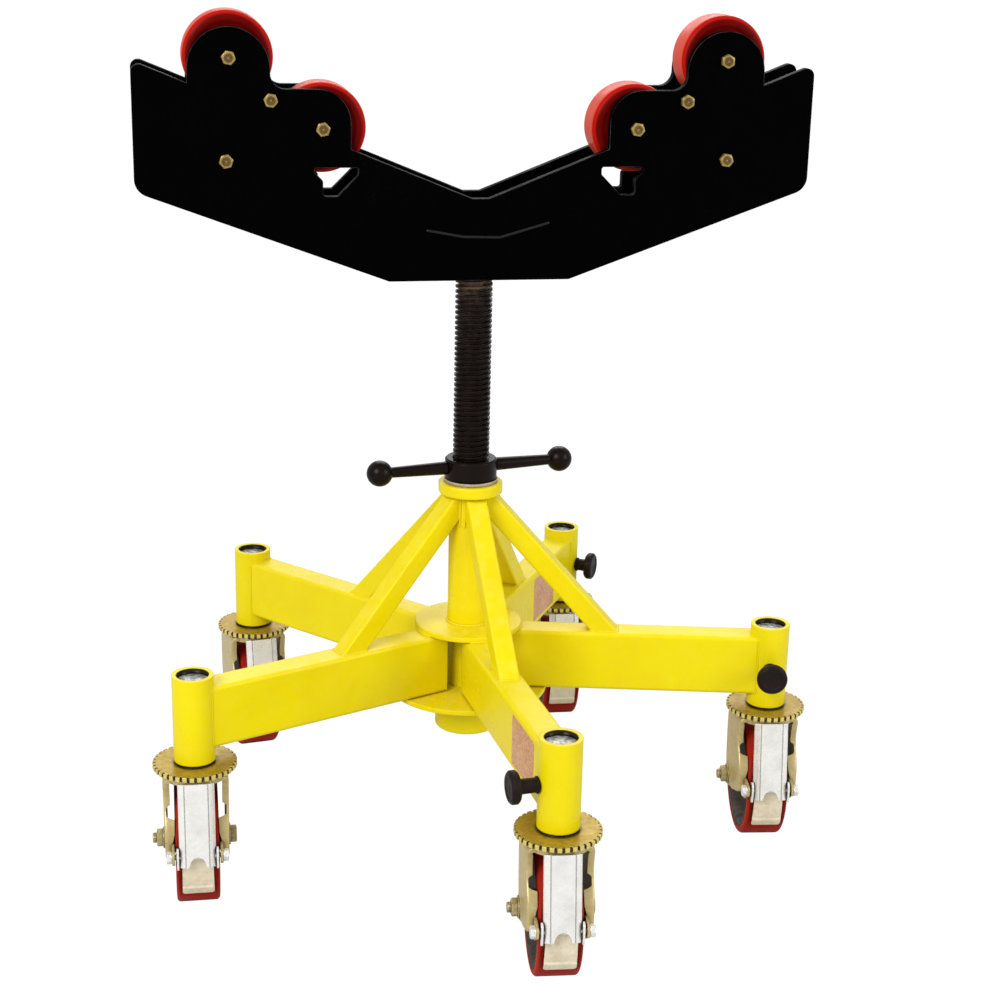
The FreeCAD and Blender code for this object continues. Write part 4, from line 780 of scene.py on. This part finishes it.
class PIPESTAND_OT_forks(bpy.types.Operator):
    """Press the caster forks: a bowed crown, two sides with turned-in front edges, and a race"""
    bl_idname = "pipe_stand.forks"
    bl_label = "Forks"

    def execute(self, context):
        sizes = context.scene.stand_sizes
        half, plate = sizes.fork_half / MM, sizes.fork_plate / MM
        for leg in LEGS:
            where = caster_frame(leg)
            axle = local_point("wheel_spin_%d" % leg, where)
            pin = local_point("brake_pedal_%d" % leg, where)
            grid = fork_sheet(half, axle, pin)
            item = piece("fork_pressing_%d" % leg, [(stood(grid, where), False, False)], "Yellow zinc",
                         "caster_%d" % leg, ("caster_fork_%d" % leg,), sheet=plate,
                         inside=stood((axle + (20, 0, 0))[None], where)[0], sharp=50, soften=0.6)
            lugs = [(stood(slab(lug_outline(pin), hand * 26.2, hand * 29.4), where), False, True) for hand in (-1, 1)]
            piece("pin_lugs_%d" % leg, lugs, "Yellow zinc", "caster_%d" % leg, soften=0.5)
            race = rounded([(FORK_TOP, 9), (FORK_TOP, 37), (FORK_TOP - 1.5, 37), (FORK_TOP - 3, 40), (FORK_TOP - 9, 40),
                            (FORK_TOP - 9, 9), (FORK_TOP, 9)], [0, 0.8, 1.0, 2.0, 1.0, 0, 0], 5)
            patches = [(turned(race, where[0], (0, 0, 1), sizes.turns), False, True)]
            piece("swivel_race_%d" % leg, patches, "Yellow zinc", "caster_%d" % leg)
            guard = guard_sheet(axle)
            piece("tread_guard_%d" % leg, [(stood(guard, where), False, False)], "Guard zinc", "caster_%d" % leg,
                  sheet=1.5, inside=stood(axle[None], where)[0], sharp=50, soften=0.35)
        return {"FINISHED"}


def fork_sheet(half, axle, pin):
    """A fork's outer face. One parameter runs up a side, round the crown's bend, across and down again; the other
    runs from the rear edge to the front edge, round a bend and inward along the turned-in flange. The rear and
    front edges are smooth functions of height, and a press mark bows out round the axle."""
    bend, crown = 9.0, FORK_TOP - 1.2
    down = np.linspace(1, 0, 54)
    side_z = crown - bend - down * (crown - bend - 62.0)
    turn = np.linspace(0, np.pi / 2, 9)[1:]
    y = np.concatenate([np.full(54, half), half - bend + bend * np.cos(turn)])
    z = np.concatenate([side_z, crown - bend + bend * np.sin(turn)])
    inward_y = np.concatenate([np.full(54, -1.0), -np.cos(turn)])
    inward_z = np.concatenate([np.zeros(54), -np.sin(turn)])
    across = np.linspace(half - bend, -(half - bend), 18)[1:-1]
    y = np.concatenate([y, across, -y[::-1]])
    z = np.concatenate([z, np.full(16, crown), z[::-1]])
    inward_y = np.concatenate([inward_y, np.zeros(16), -inward_y[::-1]])
    inward_z = np.concatenate([inward_z, np.full(16, -1.0), inward_z[::-1]])
    fall = np.concatenate([down, np.zeros(16 + 16), down[::-1]])
    front = np.interp(z, [62, 67, 76, 100, 112, 124, 136, 150, 166, crown],
                      [axle[0] + 22, pin[0] - 27, pin[0] - 16.3, pin[0] - 16.3, pin[0] - 18, pin[0] - 24,
                       pin[0] - 33, pin[0] - 36, pin[0] - 33, pin[0] - 30])
    rear = np.interp(z, [60, 66, 78, 100, 135, 155, crown], [axle[0] - 8, axle[0] - 14, axle[0] - 18, axle[0] - 20,
                                                          axle[0] - 20, axle[0] - 18, axle[0] - 10])
    flange = np.interp(z, [62, 66, 98, 110, 126, 129, 139, 142, 166, crown],
                       [0.3, 6.2, 6.2, 9.0, 9.5, 0.3, 0.3, 5.0, 5.0, 3.0])
    smooth = np.ones(5) / 5
    front = np.convolve(np.pad(front, 2, "edge"), smooth, "valid")
    rear = np.convolve(np.pad(rear, 2, "edge"), smooth, "valid")
    share = np.linspace(0, 1, 44)
    curl = np.linspace(0, np.pi / 2, 5)[1:]
    tuck = 2.6
    x = rear[:, None] + share * (front - tuck - rear)[:, None]
    x = np.concatenate([x, (front - tuck)[:, None] + tuck * np.sin(curl), np.repeat(front[:, None], 3, 1)], axis=1)
    depth = np.concatenate([np.zeros((len(z), 44)), np.broadcast_to(tuck * (1 - np.cos(curl)), (len(z), 4)),
                            tuck + flange[:, None] * np.array([0.34, 0.67, 1.0])], axis=1)
    lift = np.interp(x, [axle[0] - 14, axle[0], axle[0] + 14, axle[0] + 40, pin[0] - 8, pin[0] + 6],
                     [4.0, 0.0, 3.0, 8.0, 14.0, 20.0])
    bowed = fall[:, None] ** 3 * lift
    spot = np.hypot(x - axle[0], z[:, None] + bowed - axle[2])
    press = 1.4 * np.clip((17 - spot) / 3, 0, 1) ** 2 * (3 - 2 * np.clip((17 - spot) / 3, 0, 1))
    depth = depth - press * (fall[:, None] > 0)
    lean = 1.6 * fall[:, None] * np.sign(y)[:, None]
    return np.stack([x, y[:, None] + inward_y[:, None] * depth - lean, z[:, None] + bowed + inward_z[:, None] * depth],
                    axis=2)


def slab(outline, start, end):
    """A flat plate: an outline in the XZ plane with a face at each of two distances along Y."""
    rings = []
    for share, across in ((0.0, start), (1.0, start), (1.0, end), (0.0, end)):
        flat = outline.mean(0) + (outline - outline.mean(0)) * share
        rings.append(np.stack([flat[:, 0], np.full(len(flat), across), flat[:, 1]], axis=1))
    return np.array(rings)


def lug_outline(pin):
    """Side view of a pin lug: a rounded nose round the pin that runs back to the fork's turned-in edge."""
    corners = [(-18, 0), (-18, 9), (-2, 8), (6.5, 6), (6.5, -6), (-2, -9), (-10, -16), (-18, -18), (-18, 0)]
    return rounded(corners, [0, 1.5, 6, 5, 5, 6, 5, 1.5, 0], 5)[:-1] + (pin[0], pin[2])


def guard_sheet(axle):
    """A guard in front of the tread: an arc of a cylinder about the axle with rounded lower corners, stepped
    outward below a sharp crease and swelling at its top to the hinge on the pedal's pin."""
    degrees = np.linspace(14, -29, 60)
    angle = np.radians(degrees)
    share = np.linspace(-1, 1, 21)
    corner = np.clip((-26 - degrees) / 3, 0, 1)
    width = np.interp(degrees, [-29, 14], [18.4, 17.6]) - 3.6 * (1 - np.sqrt(1 - corner ** 2))
    crease = 1.5 * np.clip((-19.6 - degrees) / 1.2, 0, 1) - 1.1 * np.clip((-21 - degrees) / 8, 0, 1)
    crease += 1.0 * np.clip((degrees - 6) / 4, 0, 1)
    radius = 76.2 + 3.2 + crease
    x = axle[0] + radius * np.cos(angle)
    z = axle[2] + radius * np.sin(angle)
    return np.stack([np.broadcast_to(x[:, None], (60, 21)), width[:, None] * share,
                     np.broadcast_to(z[:, None], (60, 21))], axis=2)


class PIPESTAND_OT_pedals(bpy.types.Operator):
    """Press the brake pedals: a channel with rounded shoulders, an arched lower end and two ears"""
    bl_idname = "pipe_stand.pedals"
    bl_label = "Brake pedals"

    def execute(self, context):
        sizes = context.scene.stand_sizes
        for leg in LEGS:
            where = caster_frame(leg)
            pin = local_point("brake_pedal_%d" % leg, where)
            grid = pedal_sheet(sizes.pedal_face / MM, sizes.pedal_shoulder / MM, pin)
            piece("pedal_channel_%d" % leg, [(stood(grid, where), False, False)], "Bright zinc", "pedal_%d" % leg,
                  ("brake_pedal_%d" % leg,), sheet=2.2,
                  inside=stood((pin - (30, 0, -40))[None], where)[0], sharp=50, soften=0.5)
            patches = [(stood(slab(ear_outline(pin), hand * 21.4, hand * 24.0), where), False, True)
                       for hand in (-1, 1)]
            piece("pedal_ears_%d" % leg, patches, "Bright zinc", "pedal_%d" % leg, soften=0.4)
        return {"FINISHED"}


def pedal_sheet(face, shoulder, pin):
    """A pedal's outer face: its section is a flat, a groove and a sloping shoulder on each side, and two flanges; the
    lower end rises in a half-round arch, and the flanges grow shallower towards the top."""
    lean = math.radians(10.5)
    flat = np.linspace(-face / 2, face / 2, 25)
    arc_y = face / 2 + shoulder * np.array([0.02, 0.12, 0.24, 0.80, 0.92, 1.0])
    arc_d = np.array([0.0, 1.3, 0.7, 2.9, 3.8, 5.6])
    back = np.linspace(0, 1, 5)[1:]
    share = np.linspace(0, 1, 60)
    arch = 12.0 * np.sqrt(np.clip(1 - (flat / 9.6) ** 2, 0, None))
    low_flat = -12.0 + arch
    length = 86.0
    flange = np.interp(share, [0, 0.15, 0.3, 0.9, 1.0], [0.6, 2.2, 3.6, 3.0, 1.0])
    y_half = np.concatenate([arc_y, np.full(4, face / 2 + shoulder)])
    depth = np.concatenate([np.broadcast_to(arc_d, (60, 6)), arc_d[-1] + flange[:, None] * back], axis=1)
    low_half = np.concatenate([np.full(6, low_flat[-1]), low_flat[-1] + back * 3.0])
    y = np.concatenate([-y_half[::-1], flat, y_half])
    low = np.concatenate([low_half[::-1], low_flat, low_half])
    depth = np.concatenate([depth[:, ::-1], np.zeros((60, 25)), depth], axis=1)
    along = low + share[:, None] * (length - low)
    out = 6.0 - depth
    x = pin[0] + out * math.cos(lean) - along * math.sin(lean)
    z = pin[2] + out * math.sin(lean) + along * math.cos(lean)
    return np.stack([x, np.broadcast_to(y, x.shape), z], axis=2)


def ear_outline(pin):
    """Side view of a pedal's ear: rounded over the pin and drawn down to a blunt point."""
    corners = [(-3, 0), (-3, 9), (0, 12), (6, 9), (7, 0), (6, -11), (4, -18), (1.5, -11), (-3, -3), (-3, 0)]
    return rounded(corners, [0, 2, 3, 4, 6, 4, 1.5, 4, 3, 0], 4)[:-1] + (pin[0], pin[2])


class PIPESTAND_OT_axles(bpy.types.Operator):
    """Make the axle bolts, their nuts and washers, and the pedal pins"""
    bl_idname = "pipe_stand.axles"
    bl_label = "Axles and pins"

    def execute(self, context):
        sizes = context.scene.stand_sizes
        half = sizes.fork_half / MM
        for leg in LEGS:
            where = caster_frame(leg)
            axle = local_point("wheel_spin_%d" % leg, where)
            pin = local_point("brake_pedal_%d" % leg, where)
            patches = []
            for hand in (-1, 1):
                out = (0, hand, 0)
                foot = axle + (0, hand * (half - 0.2), 0)
                washer = [(0, 6), (0, 12.6), (1.0, 13.0), (1.8, 12.6), (1.8, 6)]
                patches.append((turned(washer, foot, out, 64), False, True))
                patches.append((hexagon(19.0, 7.5, foot + (0, hand * 1.8, 0), out, 0.2, 0.8), False, True))
            end = axle - (0, half + 8.8, 0)
            patches.append((threaded_end(6.3, 5.0, 1.5, end, (0, -1, 0)), False, True))
            shank = [(-half, 0), (-half, 6.3), (half, 6.3), (half, 0)]
            patches.append((turned(shank, axle, (0, 1, 0), 48), False, True))
            patches = [(stood(grid, where), u, v) for grid, u, v in patches]
            piece("axle_fasteners_%d" % leg, patches, "Bolt zinc", "caster_%d" % leg,
                  ("axle_bolt_%d" % leg,))
            reach = 30.0
            hinge = [(-17, 2.9), (-17, 3.7), (17, 3.7), (17, 2.9)]
            patches = [(turned(hinge, pin, (0, 1, 0), 32), True, True),
                       (turned([(-reach, 0), (-reach, 2.9), (reach, 2.9), (reach, 0)], pin, (0, 1, 0), 32), False, True)]
            for hand in (-1, 1):
                out, foot = (0, hand, 0), pin + (0, hand * 29.5, 0)
                patches.append((turned([(0, 2), (0, 6.9), (0.8, 7.1), (1.2, 6.8), (1.2, 2)], foot, out, 48), False, True))
                patches.append((hexagon(12.6, 4.8, foot + (0, hand * 1.2, 0), out, 0.4, 0.6), False, True))
            patches = [(stood(grid, where), u, v) for grid, u, v in patches]
            piece("pedal_pin_%d" % leg, patches, "Bright zinc", "caster_%d" % leg)
        return {"FINISHED"}


def threaded_end(radius, length, pitch, centre, axis):
    """A bolt's end: radius less a triangle wave of (height / pitch - angle / full turn), closed by a chamfer."""
    axis, side, up = frame_of(axis)
    angle = np.linspace(0, 2 * np.pi, 40, endpoint=False)
    height = np.linspace(0, length, 28)
    phase = (height[:, None] / pitch - angle / (2 * np.pi)) % 1.0
    size = radius - 0.5 * np.abs(2 * phase - 1) * np.minimum(1, (length - height) / 1.2 + 0.4)[:, None]
    size = np.minimum(size, radius - np.clip(height - length + 1.0, 0, None)[:, None])
    size = np.concatenate([np.zeros((1, 40)), size, np.zeros((1, 40))])
    height = np.concatenate([[0], height, [length]])
    ring = np.cos(angle)[:, None] * side + np.sin(angle)[:, None] * up
    return np.asarray(centre, float) + height[:, None, None] * axis + size[..., None] * ring


class PIPESTAND_OT_wheels(bpy.types.Operator):
    """Turn the caster wheels: cast cores with rims, webs and bosses, and moulded treads"""
    bl_idname = "pipe_stand.wheels"
    bl_label = "Caster wheels"

    def execute(self, context):
        steps = context.scene.stand_sizes.turns
        for leg in LEGS:
            joint = JOINTS["wheel_spin_%d" % leg]
            centre, axis = np.array(joint["pos_m"]) / MM, np.array(joint["axis"], float)
            half = 25.4
            tread = rounded([(-24.0, 66.0), (-24.0, 68.3), (-half, 68.6), (-half + 0.6, 76.2), (half - 0.6, 76.2),
                             (half, 68.6), (24.0, 68.3), (24.0, 66.0), (-24.0, 66.0)],
                            [0, 0, 0.2, 4.5, 4.5, 0.2, 0, 0, 0], 6)
            piece("wheel_tyre_%d" % leg, [(turned(tread, centre, axis, steps), False, True)], "Red polyurethane",
                  "wheel_%d" % leg, ("wheel_tread_%d" % leg,))
            core = rounded([(-34.0, 7.0), (-34.0, 13.5), (-33.0, 16.0), (-25.0, 19.0), (-9.0, 23.0), (-7.0, 30.0),
                            (-7.0, 50.0), (-12.0, 57.0), (-22.5, 60.0), (-24.6, 61.5), (-24.6, 68.2), (24.6, 68.2),
                            (24.6, 61.5), (22.5, 60.0), (12.0, 57.0), (7.0, 50.0), (7.0, 30.0), (9.0, 23.0),
                            (25.0, 19.0), (33.0, 16.0), (34.0, 13.5), (34.0, 7.0), (-34.0, 7.0)],
                           [0, 0.8, 2, 3, 4, 4, 5, 5, 1.5, 0.8, 0.3, 0.3, 0.8, 1.5, 5, 5, 4, 4, 3, 2, 0.8, 0, 0], 4)
            piece("wheel_core_%d" % leg, [(turned(core, centre, axis, steps), False, True)], "Grey casting",
                  "wheel_%d" % leg, ("wheel_hub_%d" % leg,))
        return {"FINISHED"}


# ---- head ----

class PIPESTAND_OT_rollers(bpy.types.Operator):
    """Turn the head rollers: polyurethane tyres with rounded edges on steel cores"""
    bl_idname = "pipe_stand.rollers"
    bl_label = "Head rollers"

    def execute(self, context):
        steps = context.scene.stand_sizes.turns
        for name in ROLLERS:
            joint = JOINTS["roller_spin_" + name]
            centre, axis = np.array(joint["pos_m"]) / MM, np.array(joint["axis"], float)
            tyre = rounded([(-24.2, 26.0), (-24.2, 36.0), (-25.4, 40.0), (-25.4, 50.8), (25.4, 50.8), (25.4, 40.0),
                            (24.2, 36.0), (24.2, 26.0), (-24.2, 26.0)], [0, 1.0, 2.0, 9.0, 9.0, 2.0, 1.0, 0, 0], 8)
            piece("roller_tyre_" + name, [(turned(tyre, centre, axis, steps), False, True)], "Roller red",
                  "roller_" + name, ("head_roller_" + name,))
            core = rounded([(-25.2, 9.2), (-25.2, 15.0), (-23.0, 16.5), (-21.5, 22.0), (-24.0, 26.0), (-24.0, 27.5),
                            (24.0, 27.5), (24.0, 26.0), (21.5, 22.0), (23.0, 16.5), (25.2, 15.0), (25.2, 9.2),
                            (-25.2, 9.2)], [0, 0.8, 2, 2, 0.8, 0, 0, 0.8, 2, 2, 0.8, 0, 0], 4)
            piece("roller_core_" + name, [(turned(core, centre, axis, steps), False, True)], "Bolt zinc",
                  "roller_" + name)
        return {"FINISHED"}


class PIPESTAND_OT_head_fasteners(bpy.types.Operator):
    """Make the head's bolts: hexagon heads in front with dark rings of painted shade in their recesses, nuts and thread
    ends behind
    """
    bl_idname = "pipe_stand.head_fasteners"
    bl_label = "Head fasteners"

    def execute(self, context):
        axles = [np.array(JOINTS["roller_spin_" + name]["pos_m"]) / MM for name in ROLLERS]
        spacers = [np.array([hand * x, 0.0, z]) for x, z in ((240.7, 930.2), (291.3, 863.0)) for hand in (-1, 1)]
        for name, centres, node in (("roller_bolt_set", axles, "roller_bolts"), ("spacer_bolt_set", spacers, "spacer_bolts")):
            patches, recesses, heads = [], [], []
            for number, centre in enumerate(centres):
                front = centre * (1, 0, 1) + (0, PLATE_FRONT, 0)
                back = centre * (1, 0, 1) - (0, PLATE_FRONT, 0)
                turn = 0.35 + 0.71 * number
                heads.append((hexagon(14.2, 6.8, front, (0, -1, 0), turn, 0.0), False, True))
                patches.append((hexagon(14.2, 6.8, back, (0, 1, 0), turn, 0.0), False, True))
                # painted shade: a dark ring set in each front head's recess
                recess = [(6.5, 0), (6.85, 1.2), (6.85, 3.0), (7.1, 4.2), (7.0, 5.0), (6.6, 5.0)]
                recesses.append((turned(recess, front, (0, -1, 0), 48), False, True))
                patches.append((threaded_end(4.9, 3.2, 1.5, back + (0, 6.6, 0), (0, 1, 0)), False, True))
                shank = [(PLATE_FRONT, 0), (PLATE_FRONT, 4.9), (-PLATE_FRONT, 4.9), (-PLATE_FRONT, 0)]
                patches.append((turned(shank, centre * (1, 0, 1), (0, 1, 0), 40), False, True))
            piece(name, patches, "Bolt zinc", "head", (node,))
            piece(name + "_heads", heads, "Head bolt zinc", "head")
            piece(name + "_recesses", recesses, "Bolt shade", "head")
        return {"FINISHED"}


class PIPESTAND_OT_head_weld(bpy.types.Operator):
    """Lay the shallow weld line across the middle of the front plate"""
    bl_idname = "pipe_stand.head_weld"
    bl_label = "Head weld"

    def execute(self, context):
        path = resampled([(-64, PLATE_FRONT, 783), (-20, PLATE_FRONT, 775), (23, PLATE_FRONT, 774),
                          (82, PLATE_FRONT, 791)], 0.7)
        grid = bead(path, 1.6, 2.4, (0, -1, 0))
        piece("head_weld_bead", [(grid, False, True)], "Weld black", "head", sharp=60)
        return {"FINISHED"}


# ---- stage ----

class PIPESTAND_OT_stage(bpy.types.Operator):
    """Set up the pale floor, the soft lights and the camera"""
    bl_idname = "pipe_stand.stage"
    bl_label = "Stage"

    def execute(self, context):
        scene = context.scene
        make_floor()
        mesh = bpy.data.meshes.new("floor")
        mesh.from_pydata([(-14, -10, 0), (14, -10, 0), (14, 22, 0), (-14, 22, 0)], [], [(0, 1, 2, 3)])
        mesh.materials.append(bpy.data.materials["Pale floor"])
        floor = bpy.data.objects.new("floor", mesh)
        scene.collection.objects.link(floor)
        world = bpy.data.worlds.new("Studio")
        world.use_nodes = True
        backdrop = world.node_tree.nodes["Background"]
        backdrop.inputs["Color"].default_value = (1.0, 1.0, 1.0, 1.0)
        seen = add(world.node_tree, "ShaderNodeLightPath").outputs["Is Camera Ray"]
        world.node_tree.links.new(spread(world.node_tree, seen, 0.0, 1.0, 0.66, 1.0), backdrop.inputs["Strength"])
        scene.world = world
        for name, place, aim, size, power in (
                ("key", (-2.6, -2.8, 2.9), (0, 0, 0.5), 2.0, 128.0),
                ("fill", (2.9, -2.2, 1.8), (0, 0, 0.5), 1.6, 46.0),
                ("back", (0.6, 3.0, 2.8), (0, 0, 0.6), 2.4, 60.0)):
            light = bpy.data.lights.new(name, "AREA")
            light.shape, light.size, light.energy = "SQUARE", size, power
            lamp = bpy.data.objects.new(name, light)
            lamp.location = place
            lamp.rotation_euler = (Vector(aim) - Vector(place)).to_track_quat("-Z", "Y").to_euler()
            scene.collection.objects.link(lamp)
        yaw, pitch, roll = (math.radians(angle) for angle in (-11.02, 17.519, 1.32))
        ahead = Vector((-math.sin(yaw) * math.cos(pitch), math.cos(yaw) * math.cos(pitch), -math.sin(pitch)))
        level = Vector((math.cos(yaw), math.sin(yaw), 0))
        up = level.cross(ahead)
        right = math.cos(roll) * level + math.sin(roll) * up
        up = -math.sin(roll) * level + math.cos(roll) * up
        data = bpy.data.cameras.new("camera")
        data.lens, data.sensor_width, data.clip_end = 68.46, 36.0, 60.0
        camera = bpy.data.objects.new("camera", data)
        camera.matrix_world = Matrix.Translation((-0.3913, -2.2014, 1.1491)) @ Matrix(
            (right, up, -ahead)).transposed().to_4x4()
        scene.collection.objects.link(camera)
        scene.camera = camera
        scene.view_settings.view_transform = "Standard"
        return {"FINISHED"}


STEPS = (PIPESTAND_OT_finishes, PIPESTAND_OT_base_welds, PIPESTAND_OT_post_bores, PIPESTAND_OT_labels, PIPESTAND_OT_lock_knobs,
         PIPESTAND_OT_forks, PIPESTAND_OT_pedals, PIPESTAND_OT_axles, PIPESTAND_OT_wheels, PIPESTAND_OT_rollers,
         PIPESTAND_OT_head_fasteners, PIPESTAND_OT_head_weld, PIPESTAND_OT_stage)


class PIPESTAND_PT_panel(bpy.types.Panel):
    """Lists the stand's colours, sizes and making steps"""
    bl_idname = "PIPESTAND_PT_panel"
    bl_label = "Pipe Stand"
    bl_space_type = "VIEW_3D"
    bl_region_type = "UI"
    bl_category = "Pipe Stand"

    def draw(self, context):
        for group in (context.scene.stand_colours, context.scene.stand_sizes):
            for name in group.__annotations__:
                self.layout.prop(group, name)
        for step in STEPS:
            self.layout.operator(step.bl_idname)


CLASSES = (StandColours, StandSizes, *STEPS, PIPESTAND_PT_panel)


def register():
    for item in CLASSES:
        bpy.utils.register_class(item)
    bpy.types.Scene.stand_colours = PointerProperty(type=StandColours)
    bpy.types.Scene.stand_sizes = PointerProperty(type=StandSizes)


def unregister():
    del bpy.types.Scene.stand_sizes
    del bpy.types.Scene.stand_colours
    for item in reversed(CLASSES):
        bpy.utils.unregister_class(item)


def main():
    register()
    for step in STEPS:
        group, name = step.bl_idname.split(".")
        getattr(getattr(bpy.ops, group), name)()


if __name__ == "__main__":
    main()
